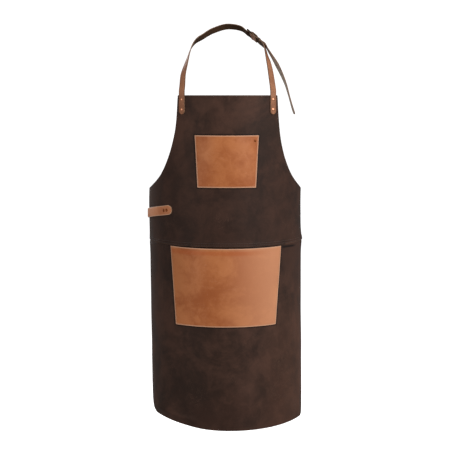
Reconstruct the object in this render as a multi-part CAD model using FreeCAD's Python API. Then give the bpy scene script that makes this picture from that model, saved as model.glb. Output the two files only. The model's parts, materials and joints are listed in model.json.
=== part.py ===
import FreeCAD, Part
import math
import os

# Leather bib apron for welding and forge work, in the shape it takes on its wearer.
# Millimetres. +Z up, the front faces -Y, +X is the wearer's left, seen on the right.
# The origin is where the neck strap's inner face rests on the nape of the neck.

V = FreeCAD.Vector

# --- Leather ---------------------------------------------------------------
BODY_LEATHER = 2.0
POCKET_LEATHER = 2.0
BUTT_GAP = 0.02          # between two pieces that are sewn edge to edge

# --- The body that the apron wraps: circles at heights (z, centre x, radius) ---
WRAP_AXIS_Y = -45.0
WRAP = [
    (-124.0, 0.0, 200.0),
    (-280.0, 0.0, 200.0),
    (-470.0, -7.0, 202.8),
    (-560.0, -6.0, 202.8),
    (-620.0, -4.8, 202.4),
    (-740.0, -4.0, 202.2),
    (-870.0, -2.2, 202.5),
    (-1000.0, -1.2, 202.6),
    (-1100.0, -0.8, 203.8),
]
WRAP_STEP = 30.0         # height between the circles that the wrap is lofted through

# --- Flat pattern, as it shows from the front ---------------------------------
BIB_TOP_Z = -184.0
SEAM_Z = BIB_TOP_Z - 385.0
HEM_Z = BIB_TOP_Z - 864.0
SIDE_EDGE_Y = -63.0      # the two side edges of the wrapped sheet
ARMHOLE_LEFT = [         # (x, drop below the bib's top), from the top to the side edge
    (126.0, 0.0),
    (129.0, 50.0),
    (133.0, 86.0),
    (139.5, 116.0),
    (148.0, 147.0),
    (160.0, 179.0),
    (176.0, 210.0),
    (190.0, 228.0),
    (209.0, 248.0),
]
ARMHOLE_RIGHT = [
    (126.5, 0.0),
    (129.5, 50.0),
    (132.5, 85.0),
    (137.0, 116.0),
    (144.0, 147.0),
    (154.0, 178.0),
    (169.5, 211.0),
    (182.0, 229.0),
    (200.0, 252.0),
]
HEM_CORNER_LEFT = 95.0
HEM_CORNER_RIGHT = 40.0
HEM_LIFT_FROM = -15.0    # the x where the hem starts to rise towards the left
HEM_LIFT_RADIUS = 840.0  # of the arc that it rises along, seen from the front
HEM_LIFT_LEFT = 14.2     # how far it has risen where the left corner starts
BEYOND = 320.0           # a size past every edge, for cutting tools

# --- Pockets: mouth and bottom drops, half widths, how far the mouth gapes -------
CHEST_POCKET = {"top": 101.0, "bottom": 233.5, "half_top": 82.0, "half_bottom": 74.5, "gape": 9.0}
LAP_POCKET = {"top": 387.5, "bottom": 592.0, "half_top": 142.5, "half_bottom": 130.0, "gape": 13.0}
POCKET_BORDER = 6.0      # the sewn edge, where the pocket is closed

# --- Straps --------------------------------------------------------------------
NECK_WIDTH = 18.0
NECK_THICK = 2.5
WAIST_WIDTH = 25.0
WAIST_THICK = 3.0
STRAP_LIFT = 0.25        # a flat strap on the curved panel
SEWN_GAP = 0.8           # the waist buckle strap's flat end inside the panel's edge
SHOULDER_ANGLE = 34.85   # where the neck straps sit round the wrap, in degrees
SHOULDER_END_DROP = 39.5  # from the bib's top to the centre of the strap's round end
RIVET_DROPS = (10.5, 36.0)
TAB_DROP = 295.0         # of the waist strap's round end, below the bib's top
TAB_FALL = 0.5           # and how much it falls for each degree towards the back
TAB_RIVET_ANGLES = (46.4, 49.8)
TAB_CAP_LIFT = 0.1       # the strap's face bows up a little under its flat caps

# --- Buckles: a wire frame with its heel bar at the local origin --------------------
# Local axes: X runs along the strap towards its tail, Y across it, Z outwards.
HINGE_GAP = 0.08
STRAP_GAP = 0.3
FOLD_END = 26.0          # end of the folded-back layer
FOLD_RIVET_AT = 18.0
STRETCH_START = -38.0    # ends of the straight stretch that holds the buckle and keeper
STRETCH_END = 60.0
KEEPER_AT = 41.0
KEEPER_LENGTH = 9.0
KEEPER_WALL = 1.6
TONGUE_WIDTH = 2.6
TONGUE_THICK = 2.2
SLOT_HALF = 2.2

NECK_HEEL = V(65.2, -60.9, -27.2)
NECK_ALONG = V(0.425, -0.8, -0.422).normalize()
NECK_ACROSS = V(0.262, 0.548, -0.794)
WAIST_HEEL = V(12.0, 35.0, -504.0)
WAIST_ALONG = V(1.0, 0.0, 0.0)
WAIST_ACROSS = V(0.0, 0.0, -1.0)

# --- Strap routes: points on the inner face, chosen by hand ------------------------
NECK_LEFT_ROUTE = [
    (-114.6, -207.2, -164.0),
    (-111.9, -196.0, -131.0),
    (-106.2, -180.0, -107.6),
    (-99.6, -157.0, -83.0),
    (-92.6, -130.0, -60.5),
    (-81.5, -100.0, -43.0),
    (-65.0, -65.0, -30.5),
    (-37.0, -23.0, -11.8),
    (0.0, 0.0, 0.0),
]
NECK_TWIST = [           # (share of the length, share of the turn) up the left side
    (0.0, 0.0),
    (0.09, 0.08),
    (0.13, 0.16),
    (0.175, 0.26),
    (0.228, 0.37),
    (0.29, 0.5),
    (0.42, 0.6),
    (0.58, 0.75),
    (1.0, 1.0),
]
NECK_RIGHT_ROUTE = [
    (99.5, -137.0, -75.5),
    (104.3, -162.0, -96.0),
    (108.5, -183.0, -119.5),
    (111.8, -198.0, -143.0),
    (114.9, -207.0, -167.0),
]
NECK_UNTWIST = [         # (share of the length, share of the turn) down the right side
    (0.0, 0.0),
    (0.2, 0.2),
    (0.37, 0.52),
    (0.6, 0.74),
    (0.8, 0.93),
    (1.0, 1.0),
]
TAIL_ROUTE = [
    (105.5, -131.5, -69.5),
    (115.5, -147.5, -87.0),
    (127.3, -162.0, -108.0),
    (138.0, -172.0, -130.5),
    (147.8, -178.5, -155.0),
    (157.5, -182.0, -188.0),
    (166.5, -183.0, -219.0),
]
TAIL_TIP = (171.2, -183.0, -233.0)
TAIL_TURN = [            # (share of the length, direction across the tail)
    (0.2, NECK_ACROSS),
    (0.4, V(-0.30, 0.82, -0.47)),
    (0.75, V(-0.03, 0.98, -0.20)),
    (1.0, V(-0.12, 0.97, -0.15)),
]
TAIL_TIP_WIDTH = 5.0
TAIL_RISE = 0.8          # of the neck tail off the buckle strap, just past the keeper's stretch
TAIL_HOLES = 4           # adjusting holes at the first points of the neck tail's route
STRETCH_HOLES = (-31.0, 19.0, 44.0)
HOLE_RADIUS = 2.0

TAB_START = 45.0         # where the waist strap's round end is centred, in degrees
TAB_ANGLES = (40.5, 45.0, 51.0, 57.0, 62.0, 67.0, 72.0, 77.0, 81.0, 85.0)
WAIST_LEFT_ROUTE = [
    (-213.0, -42.0, -500.5),
    (-205.0, -14.0, -502.0),
    (-181.0, 12.0, -503.2),
    (-142.0, 25.5, -503.8),
    (-95.0, 29.0, -504.0),
    (-55.0, 29.8, -504.0),
]
WAIST_TAIL_ROUTE = [
    (101.0, 38.2, -504.5),
    (126.0, 36.0, -506.5),
    (147.0, 32.5, -509.5),
]
WAIST_TAIL_TIP = (158.0, 30.0, -511.5)
WAIST_TAIL_HOLES = 2
WAIST_RIGHT_ROUTE = [
    (100.0, 34.0, -504.0),
    (140.0, 27.0, -503.0),
    (170.0, 12.0, -501.5),
    (187.5, -9.0, -499.5),
]
WAIST_RIGHT_ANGLES = (95.0, 90.0, 85.0, 80.5, 76.5)
WAIST_RIGHT_DROP = 311.0

CHEST_RIVET_X = 70.0
CHEST_RIVET_DROP = 115.0

RIVET_LARGE = {"cap": 4.5, "post": 1.8, "head": 1.6}
RIVET_SMALL = {"cap": 3.5, "post": 1.5, "head": 1.2}
RIVET_CLEAR = 0.05
FOOT_GAP = 0.12          # leaves a flat foot clear of the curved leather behind it


# --- Helpers ---------------------------------------------------------------------
def save(name, shape):
    """Writes one node, and says if a solid of it is not sound."""
    if not shape.isValid() or shape.Volume <= 0:
        print("unsound:", name)
    shape.exportStep(f"parts/{name}.step")
    print(f"{name}: {len(shape.Solids)} solid(s), {shape.Volume:.0f} mm3")


def circle_wire(x, y, z, radius):
    return Part.Wire(Part.makeCircle(radius, V(x, y, z), V(0, 0, 1)))


def wrap_at(z):
    """Centre x and radius of the wrap at a height, eased between the listed circles."""
    for (z0, x0, r0), (z1, x1, r1) in zip(WRAP, WRAP[1:]):
        if z1 <= z <= z0:
            share = (z0 - z) / (z0 - z1)
            eased = share * share * (3 - 2 * share)
            return x0 + eased * (x1 - x0), r0 + eased * (r1 - r0)
    raise ValueError(f"no wrap at {z}")


def wrap_body(offset):
    """The wrapped body, grown outwards by offset."""
    top, low = WRAP[0][0], WRAP[-1][0]
    steps = round((top - low) / WRAP_STEP)
    rings = []
    for i in range(steps + 1):
        z = top + (low - top) * i / steps
        x, radius = wrap_at(z)
        rings.append(circle_wire(x, WRAP_AXIS_Y, z, radius + offset))
    return Part.makeLoft(rings, True, False)


def wrap_point(angle, z, offset):
    """A point on the wrap, at an angle from the front towards +X, in degrees."""
    x, radius = wrap_at(z)
    turn = math.radians(angle)
    reach = radius + offset
    return V(x + reach * math.sin(turn), WRAP_AXIS_Y - reach * math.cos(turn), z)


def oriented(shape, origin, along, across):
    """Moves a shape from local axes (along, across, outwards) to its place."""
    across = (across - along * across.dot(along)).normalize()
    outward = along.cross(across)
    turned = FreeCAD.Rotation(along, across, outward, "XYZ")
    placed = shape.copy()
    placed.Placement = FreeCAD.Placement(origin, turned).multiply(shape.Placement)
    return placed


def block(x0, x1, y0, y1, z0, z1):
    return Part.makeBox(x1 - x0, y1 - y0, z1 - z0, V(x0, y0, z0))


def plate(points, width):
    """A profile of (along, outward) points, made width wide about local Y = 0."""
    corners = [V(x, -width / 2, z) for x, z in points]
    face = Part.Face(Part.makePolygon(corners + corners[:1]))
    return face.extrude(V(0, width, 0))


def across_pin(x, z, radius, width):
    """A cylinder along local Y, centred on Y = 0."""
    return Part.makeCylinder(radius, width, V(x, -width / 2, z), V(0, 1, 0))


# --- Panels ------------------------------------------------------------------------
def armhole_edge(side):
    outline = ARMHOLE_RIGHT if side > 0 else ARMHOLE_LEFT
    points = [V(side * x, -BEYOND, BIB_TOP_Z - drop) for x, drop in outline]
    curve = Part.BSplineCurve()
    curve.interpolate(points)
    return curve.toShape(), points[0], points[-1]


def bib_tool():
    """Everything in front of the bib's outline, from its top down to the seam."""
    left, left_top, left_low = armhole_edge(-1)
    right, right_top, right_low = armhole_edge(1)
    base_z = SEAM_Z + BUTT_GAP
    far_left = V(-BEYOND, -BEYOND, left_low.z - 15)
    far_right = V(BEYOND, -BEYOND, right_low.z - 15)
    edges = [
        Part.makeLine(left_top, right_top),
        right,
        Part.makeLine(right_low, far_right),
        Part.makeLine(far_right, V(BEYOND, -BEYOND, base_z)),
        Part.makeLine(V(BEYOND, -BEYOND, base_z), V(-BEYOND, -BEYOND, base_z)),
        Part.makeLine(V(-BEYOND, -BEYOND, base_z), far_left),
        Part.makeLine(far_left, left_low),
        left,
    ]
    outline = Part.Face(Part.Wire(Part.__sortEdges__(edges)))
    return outline.extrude(V(0, BEYOND + SIDE_EDGE_Y, 0))


def hem_corner(side, radius, lift):
    """The wedge cut away outside a rounded lower corner of the skirt, whose hem has risen by lift."""
    low_y = SIDE_EDGE_Y - radius
    low_z = HEM_Z + lift
    far = block(0, BEYOND, low_y, SIDE_EDGE_Y + 1, HEM_Z - 1, low_z + radius)
    round_edge = Part.makeCylinder(radius, BEYOND, V(0, low_y, low_z + radius), V(1, 0, 0))
    below = block(0, BEYOND, low_y, SIDE_EDGE_Y + 1, HEM_Z - 2, low_z + radius)
    wedge = far.cut(round_edge.common(below))
    return wedge if side > 0 else wedge.mirror(V(0, 0, 0), V(1, 0, 0))


def hem_rise():
    """What lies under the hem's left half, which rises along an arc."""
    arc = Part.makeCylinder(
        HEM_LIFT_RADIUS, BEYOND, V(HEM_LIFT_FROM, -BEYOND, HEM_Z + HEM_LIFT_RADIUS), V(0, 1, 0)
    )
    below = block(-BEYOND, HEM_LIFT_FROM, -BEYOND, 0, HEM_Z - 1, HEM_Z + BEYOND / 4)
    return below.cut(arc)


def panels(wall):
    bib = wall.common(bib_tool())
    skirt = wall.common(block(-BEYOND, BEYOND, -BEYOND, SIDE_EDGE_Y, HEM_Z, SEAM_Z))
    skirt = skirt.cut(hem_rise())
    skirt = skirt.cut(hem_corner(-1, HEM_CORNER_LEFT, HEM_LIFT_LEFT))
    skirt = skirt.cut(hem_corner(1, HEM_CORNER_RIGHT, 0.0))
    return bib, skirt


# --- Pockets -------------------------------------------------------------------------
def pocket_outline(pocket, inset, rise):
    """The pocket's outline from the front, drawn in by inset and opened upwards by rise."""
    top_z = BIB_TOP_Z - pocket["top"] + rise
    low_z = BIB_TOP_Z - pocket["bottom"] + inset
    centre_x, _ = wrap_at(BIB_TOP_Z - (pocket["top"] + pocket["bottom"]) / 2)
    half_top = pocket["half_top"] - inset
    half_low = pocket["half_bottom"] - inset
    corners = [
        V(centre_x - half_top, -BEYOND, top_z),
        V(centre_x + half_top, -BEYOND, top_z),
        V(centre_x + half_low, -BEYOND, low_z),
        V(centre_x - half_low, -BEYOND, low_z),
    ]
    return Part.Face(Part.makePolygon(corners + corners[:1])).extrude(V(0, BEYOND + WRAP_AXIS_Y, 0))


def gaping_circle(pocket, z, gape, offset):
    """Centre and radius of the circle that stands gape off the wrap at the middle only."""
    centre_x, radius = wrap_at(z)
    reach = radius + offset
    half = pocket["half_top"]
    side_y = math.sqrt(reach**2 - half**2)
    front_y = reach + gape
    bow = front_y - side_y
    bowed = (bow**2 + half**2) / (2 * bow)
    return centre_x, WRAP_AXIS_Y - front_y + bowed, bowed


def gaping_body(pocket, offset):
    """The body that the pocket's face follows: most proud at the mouth, flat at the bottom."""
    top_z = BIB_TOP_Z - pocket["top"]
    low_z = BIB_TOP_Z - pocket["bottom"]
    height = top_z - low_z
    levels = [(1.15, 1.0), (1.0, 1.0), (0.5, 0.8), (0.0, 0.12), (-0.1, 0.1)]
    rings = []
    for share, gape in levels:
        z = low_z + share * height
        x, y, radius = gaping_circle(pocket, z, gape * pocket["gape"], offset)
        rings.append(circle_wire(x, y, z, radius))
    return Part.makeLoft(rings, True, False)


def pocket_solid(pocket, body):
    surface_offset = BODY_LEATHER + BUTT_GAP
    outer = gaping_body(pocket, surface_offset + POCKET_LEATHER)
    inner = gaping_body(pocket, surface_offset)
    full = pocket_outline(pocket, 0, 0).common(outer)
    hollow = pocket_outline(pocket, POCKET_BORDER, 5).common(inner)
    return full.cut(body).cut(hollow)


# --- Straps --------------------------------------------------------------------------
def strap_section(point, along, across, width, thickness):
    across = (across - along * across.dot(along)).normalize()
    outward = along.cross(across)
    half = across * (width / 2)
    corners = [point - half, point + half]
    corners += [corner + outward * thickness for corner in reversed(corners)]
    return Part.makePolygon(corners + corners[:1])


def turned(turns, share):
    """The direction across a strap at a share of its length, from (share, direction) pairs."""
    for (s0, a0), (s1, a1) in zip(turns, turns[1:]):
        if s0 <= share <= s1:
            part = (share - s0) / (s1 - s0)
            return a0 * (1 - part) + a1 * part
    return turns[-1][1]


def ribbon(points, widths, turns, thickness):
    """A strap through points on its inner face, whose direction across follows turns."""
    lengths = [0.0]
    for a, b in zip(points, points[1:]):
        lengths.append(lengths[-1] + (b - a).Length)
    sections = []
    for i, point in enumerate(points):
        before = points[max(i - 1, 0)]
        after = points[min(i + 1, len(points) - 1)]
        across = turned(turns, lengths[i] / lengths[-1])
        along = (after - before).normalize()
        sections.append(strap_section(point, along, across, widths[i], thickness))
    return Part.makeLoft(sections, True, False)


def round_end(length, width, thickness):
    """A flat strap end: a half disc at local X = 0 and a straight part after it."""
    disc = Part.makeCylinder(width / 2, thickness)
    return disc.fuse(block(0, length, -width / 2, width / 2, 0, thickness)).removeSplitter()


# --- Buckle pieces, in local axes ------------------------------------------------------
class Buckle:
    """Sizes of one buckle, from its strap's width and thickness and its wire's radius."""

    def __init__(self, strap_width, strap_thick, wire, length, heel, along, across):
        self.strap_width = strap_width
        self.strap_thick = strap_thick
        self.wire = wire
        self.length = length
        self.heel = heel
        self.along = along
        self.across = (across - along * across.dot(along)).normalize()
        self.outward = along.cross(self.across)
        self.rail_y = strap_width / 2 + 1.0 + wire
        self.fold_in = wire + HINGE_GAP
        self.fold_out = self.fold_in + strap_thick
        self.over = self.fold_out + STRAP_GAP
        self.under = wire + 0.4 + strap_thick
        self.lay = strap_thick + 0.35

    def place(self, shape):
        return oriented(shape, self.heel, self.along, self.across)

    def point(self, u, n=0.0):
        return self.heel + self.along * u + self.outward * n


def buckle_frame(b):
    """A ring of round wire with rounded corners; its heel bar is at local X = 0."""
    corner = b.wire + 0.3
    x_mid = -b.length / 2
    half_x = b.length / 2
    ring = None
    for sx, sy, turn in ((1, 1, 0), (-1, 1, 90), (-1, -1, 180), (1, -1, 270)):
        middle = V(x_mid + sx * (half_x - corner), sy * (b.rail_y - corner), 0)
        bend = Part.makeTorus(corner, b.wire, V(0, 0, 0), V(0, 0, 1), 0, 360, 90)
        bend.rotate(V(0, 0, 0), V(0, 0, 1), turn)
        bend.translate(middle)
        ring = bend if ring is None else ring.fuse(bend)
    bar = 2 * (b.rail_y - corner)
    side = b.length - 2 * corner
    for x in (0.0, -b.length):
        ring = ring.fuse(Part.makeCylinder(b.wire, bar, V(x, -bar / 2, 0), V(0, 1, 0)))
    for y in (-b.rail_y, b.rail_y):
        ring = ring.fuse(Part.makeCylinder(b.wire, side, V(x_mid - side / 2, y, 0), V(1, 0, 0)))
    return ring.removeSplitter()


def buckle_tongue(b):
    """A loop round the heel bar and a prong that lies on the front rail."""
    loop = across_pin(0, 0, b.wire + HINGE_GAP + 1.8, TONGUE_WIDTH + 0.6)
    rest_z = b.wire + STRAP_GAP
    tip_x = -b.length - b.wire
    prong = block(tip_x, -0.5, -TONGUE_WIDTH / 2, TONGUE_WIDTH / 2, rest_z, rest_z + TONGUE_THICK)
    tip = Part.makeCylinder(TONGUE_WIDTH / 2, TONGUE_THICK, V(tip_x, 0, rest_z))
    body = loop.fuse(prong).fuse(tip).removeSplitter()
    return body.cut(across_pin(0, 0, b.wire + HINGE_GAP, BEYOND))


def folded_end(b, stretch_end):
    """The buckle strap's end: folded round the heel bar and back along its own inner side."""
    thick, inside, outside = b.strap_thick, b.fold_in, b.fold_out
    half = b.strap_width / 2
    turn_end = 12.0
    outer = Part.Wire([
        Part.makeLine(V(stretch_end, 0, thick), V(turn_end, 0, thick)),
        Part.makeLine(V(turn_end, 0, thick), V(0, 0, outside)),
        Part.Arc(V(0, 0, outside), V(-outside, 0, 0), V(0, 0, -outside)).toShape(),
        Part.makeLine(V(0, 0, -outside), V(turn_end, 0, -thick)),
        Part.makeLine(V(turn_end, 0, -thick), V(FOLD_END, 0, -thick)),
        Part.makeLine(V(FOLD_END, 0, -thick), V(FOLD_END, 0, 0)),
        Part.makeLine(V(FOLD_END, 0, 0), V(stretch_end, 0, 0)),
        Part.makeLine(V(stretch_end, 0, 0), V(stretch_end, 0, thick)),
    ])
    inner = Part.Wire([
        Part.makeLine(V(turn_end - 2, 0, 0), V(0, 0, inside)),
        Part.Arc(V(0, 0, inside), V(-inside, 0, 0), V(0, 0, -inside)).toShape(),
        Part.makeLine(V(0, 0, -inside), V(turn_end - 2, 0, 0)),
    ])
    solid = Part.Face(outer).extrude(V(0, b.strap_width, 0))
    solid = solid.cut(Part.Face(inner).extrude(V(0, b.strap_width, 0)))
    solid.translate(V(0, -half, 0))
    slot = block(-outside - 1, 4.5, -SLOT_HALF, SLOT_HALF, -outside - 1, outside + 1)
    return solid.cut(slot)


def threaded_stretch(b, stretch_start, stretch_end):
    """The long strap under the front rail, up through the frame and on over the fold."""
    rise_start = -b.length + b.wire + 1.5
    low = [
        (stretch_start, -b.under),
        (rise_start, -b.under),
        (-1.0, b.over),
        (FOLD_END - 1.0, b.over),
        (FOLD_END + 3.0, b.lay),
        (stretch_end, b.lay),
    ]
    high = [(x, z + b.strap_thick) for x, z in reversed(low)]
    strap = plate(low + high, b.strap_width)
    slot = block(rise_start + 7.0, -0.5, -TONGUE_WIDTH / 2 - 0.5, TONGUE_WIDTH / 2 + 0.5, -20, 20)
    return strap.cut(slot)


def keeper(b):
    """A closed leather loop round the buckle strap and the long strap's tail."""
    half = b.strap_width / 2 + 0.5
    low = -0.35
    high = b.lay + b.strap_thick + 0.35
    x0 = KEEPER_AT - KEEPER_LENGTH / 2
    x1 = KEEPER_AT + KEEPER_LENGTH / 2
    wall = KEEPER_WALL
    outside = block(x0, x1, -half - wall, half + wall, low - wall, high + wall)
    long_edges = [e for e in outside.Edges if abs(e.Length - KEEPER_LENGTH) < 0.01]
    outside = outside.makeFillet(1.2, long_edges)
    return outside.cut(block(x0 - 1, x1 + 1, -half, half, low, high))


# --- Rivets ------------------------------------------------------------------------------
def rivet(size, stack):
    """A cap and a post through a stack of leather from local Z = 0 down to -stack."""
    cap_ball = Part.makeSphere(size["cap"] * 1.4)
    cap_ball.translate(V(0, 0, size["head"] - size["cap"] * 1.4))
    cap = Part.makeCylinder(size["cap"], size["head"]).common(cap_ball)
    length = stack + FOOT_GAP
    shank = Part.makeCylinder(size["post"] - RIVET_CLEAR, length, V(0, 0, -length))
    foot_height = size["head"] * 0.6
    foot = Part.makeCylinder(size["cap"] * 0.9, foot_height, V(0, 0, -length - foot_height))
    return cap, shank.fuse(foot).removeSplitter()


def rivet_hole(size, stack):
    return Part.makeCylinder(size["post"], stack + 2, V(0, 0, -stack - 1))


def rivet_row(size, stack, places):
    """Caps, posts and hole tools of rivets at places: (origin, along, across)."""
    cap, post = rivet(size, stack)
    hole = rivet_hole(size, stack)
    caps = Part.makeCompound([oriented(cap, *place) for place in places])
    posts = Part.makeCompound([oriented(post, *place) for place in places])
    holes = Part.makeCompound([oriented(hole, *place) for place in places])
    return caps, posts, holes


def cut_holes(shape, holes):
    for hole in holes.Solids:
        shape = shape.cut(hole)
    return shape


# --- The neck strap and its buckle strap ---------------------------------------------------
def tangent_at(angle):
    """The level direction along the wrap towards +X, at an angle from the front in degrees."""
    turn = math.radians(angle)
    return V(math.cos(turn), math.sin(turn), 0)


def outward_at(angle):
    turn = math.radians(angle)
    return V(math.sin(turn), -math.cos(turn), 0)


def shoulder_point(side, drop, offset):
    return wrap_point(side * SHOULDER_ANGLE, BIB_TOP_Z - drop, offset)


def shoulder_end(side, up):
    """The strap's flat end on the bib. Its local X runs up the strap."""
    across = tangent_at(side * SHOULDER_ANGLE)
    along = V(0, 0, 1)
    start = shoulder_point(side, SHOULDER_END_DROP, BODY_LEATHER + STRAP_LIFT)
    end = round_end(SHOULDER_END_DROP + up, NECK_WIDTH, NECK_THICK)
    return oriented(end, start, along, -across)


def neck_strap(b):
    up = 4.0
    across_bib = tangent_at(-SHOULDER_ANGLE)
    flat = shoulder_end(-1, up)
    top = shoulder_point(-1, -up, BODY_LEATHER + STRAP_LIFT)
    rise = [top, top + V(0, 0, 6)] + [V(*p) for p in NECK_LEFT_ROUTE]
    joined = [b.point(STRETCH_START - 8, -b.under), b.point(STRETCH_START, -b.under)]
    path = rise + joined
    turns = [(share, b.across * part - across_bib * (1 - part)) for share, part in NECK_TWIST]
    up_part = ribbon(path, [NECK_WIDTH] * len(path), turns, NECK_THICK)
    stretch = b.place(threaded_stretch(b, STRETCH_START, STRETCH_END))
    tail = [b.point(STRETCH_END, b.lay), b.point(STRETCH_END + 8, b.lay + TAIL_RISE)]
    tail += [V(*p) for p in TAIL_ROUTE] + [V(*TAIL_TIP)]
    widths = [NECK_WIDTH] * (len(tail) - 1) + [TAIL_TIP_WIDTH]
    tail_part = ribbon(tail, widths, [(0.0, b.across)] + TAIL_TURN, NECK_THICK)
    strap = flat.fuse(up_part).fuse(stretch).fuse(tail_part)
    return cut_holes(strap, punches(b, tail[1:], TAIL_HOLES, TAIL_TURN[1][1]))


def neck_buckle_strap(b):
    up = 4.0
    flat = shoulder_end(1, up)
    top = shoulder_point(1, -up, BODY_LEATHER + STRAP_LIFT)
    path = [b.point(STRETCH_END), b.point(STRETCH_END + 8)]
    path += [V(*p) for p in NECK_RIGHT_ROUTE] + [top + V(0, 0, 6), top]
    across_bib = tangent_at(SHOULDER_ANGLE)
    turns = [(share, b.across * (1 - part) + across_bib * part) for share, part in NECK_UNTWIST]
    rise = ribbon(path, [NECK_WIDTH] * len(path), turns, NECK_THICK)
    return b.place(folded_end(b, STRETCH_END)).fuse(rise).fuse(flat)


def rivet_place(point, along, outward):
    """A rivet's place: its cap's seat, and axes that point along and out of the leather."""
    return point, along, outward.cross(along)


def punches(b, tail, count, across):
    """Tools for a strap's adjusting holes: on its straight stretch and at its tail's points."""
    tool = Part.makeCylinder(HOLE_RADIUS, 24, V(0, 0, -12))
    tools = [b.place(tool.translated(V(u, 0, 0))) for u in STRETCH_HOLES]
    for before, point, after in zip(tail, tail[1:count + 1], tail[2:]):
        tools.append(oriented(tool, point, (after - before).normalize(), across))
    return Part.makeCompound(tools)


# --- The waist strap and its buckle strap ----------------------------------------------------
def waist_point(angle, drop, offset):
    return wrap_point(angle, BIB_TOP_Z - drop, offset)


def tab_point(angle, offset):
    """A point on the waist strap where it lies on the left front, angle counted positive."""
    return waist_point(-angle, TAB_DROP + TAB_FALL * (angle - TAB_START), offset)


def tab_along(angle, offset):
    return (tab_point(angle + 1, offset) - tab_point(angle - 1, offset)).normalize()


def waist_strap(b):
    lie = BODY_LEATHER + STRAP_LIFT
    down = V(0, 0, -1)
    path = [tab_point(angle, lie) for angle in TAB_ANGLES]
    path += [V(*p) for p in WAIST_LEFT_ROUTE]
    path += [b.point(STRETCH_START - 8, -b.under), b.point(STRETCH_START, -b.under)]
    level = [(0.0, down), (1.0, down)]
    round_part = ribbon(path, [WAIST_WIDTH] * len(path), level, WAIST_THICK)
    trim = block(-40, 0, -WAIST_WIDTH, WAIST_WIDTH, -9, 9)
    trim = trim.cut(Part.makeCylinder(WAIST_WIDTH / 2 + 0.1, 20, V(0, 0, -10)))
    round_part = round_part.cut(
        oriented(trim, tab_point(TAB_START, lie), tab_along(TAB_START, lie), down)
    )
    stretch = b.place(threaded_stretch(b, STRETCH_START, STRETCH_END))
    tail = [b.point(STRETCH_END, b.lay), b.point(STRETCH_END + 8, b.lay)]
    tail += [V(*p) for p in WAIST_TAIL_ROUTE] + [V(*WAIST_TAIL_TIP)]
    widths = [WAIST_WIDTH] * (len(tail) - 1) + [TAIL_TIP_WIDTH * 1.6]
    tail_part = ribbon(tail, widths, level, WAIST_THICK)
    strap = round_part.fuse(stretch).fuse(tail_part)
    return cut_holes(strap, punches(b, tail[1:], WAIST_TAIL_HOLES, down))


def waist_buckle_strap(b):
    """From the fold round the wearer's side to where it is sewn inside the panel's edge."""
    down = V(0, 0, -1)
    inside = -WAIST_THICK - SEWN_GAP
    path = [b.point(STRETCH_END), b.point(STRETCH_END + 8)]
    path += [V(*p) for p in WAIST_RIGHT_ROUTE]
    path += [waist_point(angle, WAIST_RIGHT_DROP, inside) for angle in WAIST_RIGHT_ANGLES]
    round_part = ribbon(path, [WAIST_WIDTH] * len(path), [(0.0, down), (1.0, down)], WAIST_THICK)
    return b.place(folded_end(b, STRETCH_END)).fuse(round_part)


# --- Rivets in their places ---------------------------------------------------------------------
def shoulder_rivets(side):
    reach = BODY_LEATHER + STRAP_LIFT + NECK_THICK
    outward = outward_at(side * SHOULDER_ANGLE)
    places = [
        rivet_place(shoulder_point(side, drop, reach), V(0, 0, 1), outward) for drop in RIVET_DROPS
    ]
    return rivet_row(RIVET_LARGE, reach, places)


def tab_rivets():
    reach = BODY_LEATHER + STRAP_LIFT + WAIST_THICK + TAB_CAP_LIFT
    places = []
    for angle in TAB_RIVET_ANGLES:
        point = tab_point(angle, reach)
        places.append(rivet_place(point, tab_along(angle, reach), outward_at(-angle)))
    return rivet_row(RIVET_LARGE, reach, places)


def fold_rivet(b):
    place = rivet_place(b.point(FOLD_RIVET_AT, b.strap_thick), b.along, b.outward)
    return rivet_row(RIVET_SMALL, 2 * b.strap_thick, [place])


def chest_rivet():
    """One rivet through the chest pocket's upper corner and the bib."""
    z = BIB_TOP_Z - CHEST_RIVET_DROP
    surface = BODY_LEATHER + BUTT_GAP + POCKET_LEATHER
    x, y, radius = gaping_circle(CHEST_POCKET, z, CHEST_POCKET["gape"], surface)
    outward = V(CHEST_RIVET_X - x, -math.sqrt(radius**2 - (CHEST_RIVET_X - x) ** 2), 0)
    seat = V(x, y, z) + outward
    centre_x, wrap_radius = wrap_at(z)
    from_axis = seat - V(centre_x, WRAP_AXIS_Y, z)
    lean = outward.getAngle(from_axis)
    stack = from_axis.Length - wrap_radius + RIVET_SMALL["cap"] * math.sin(lean)
    return rivet_row(RIVET_SMALL, stack, [rivet_place(seat, V(0, 0, 1), outward.normalize())])


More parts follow.
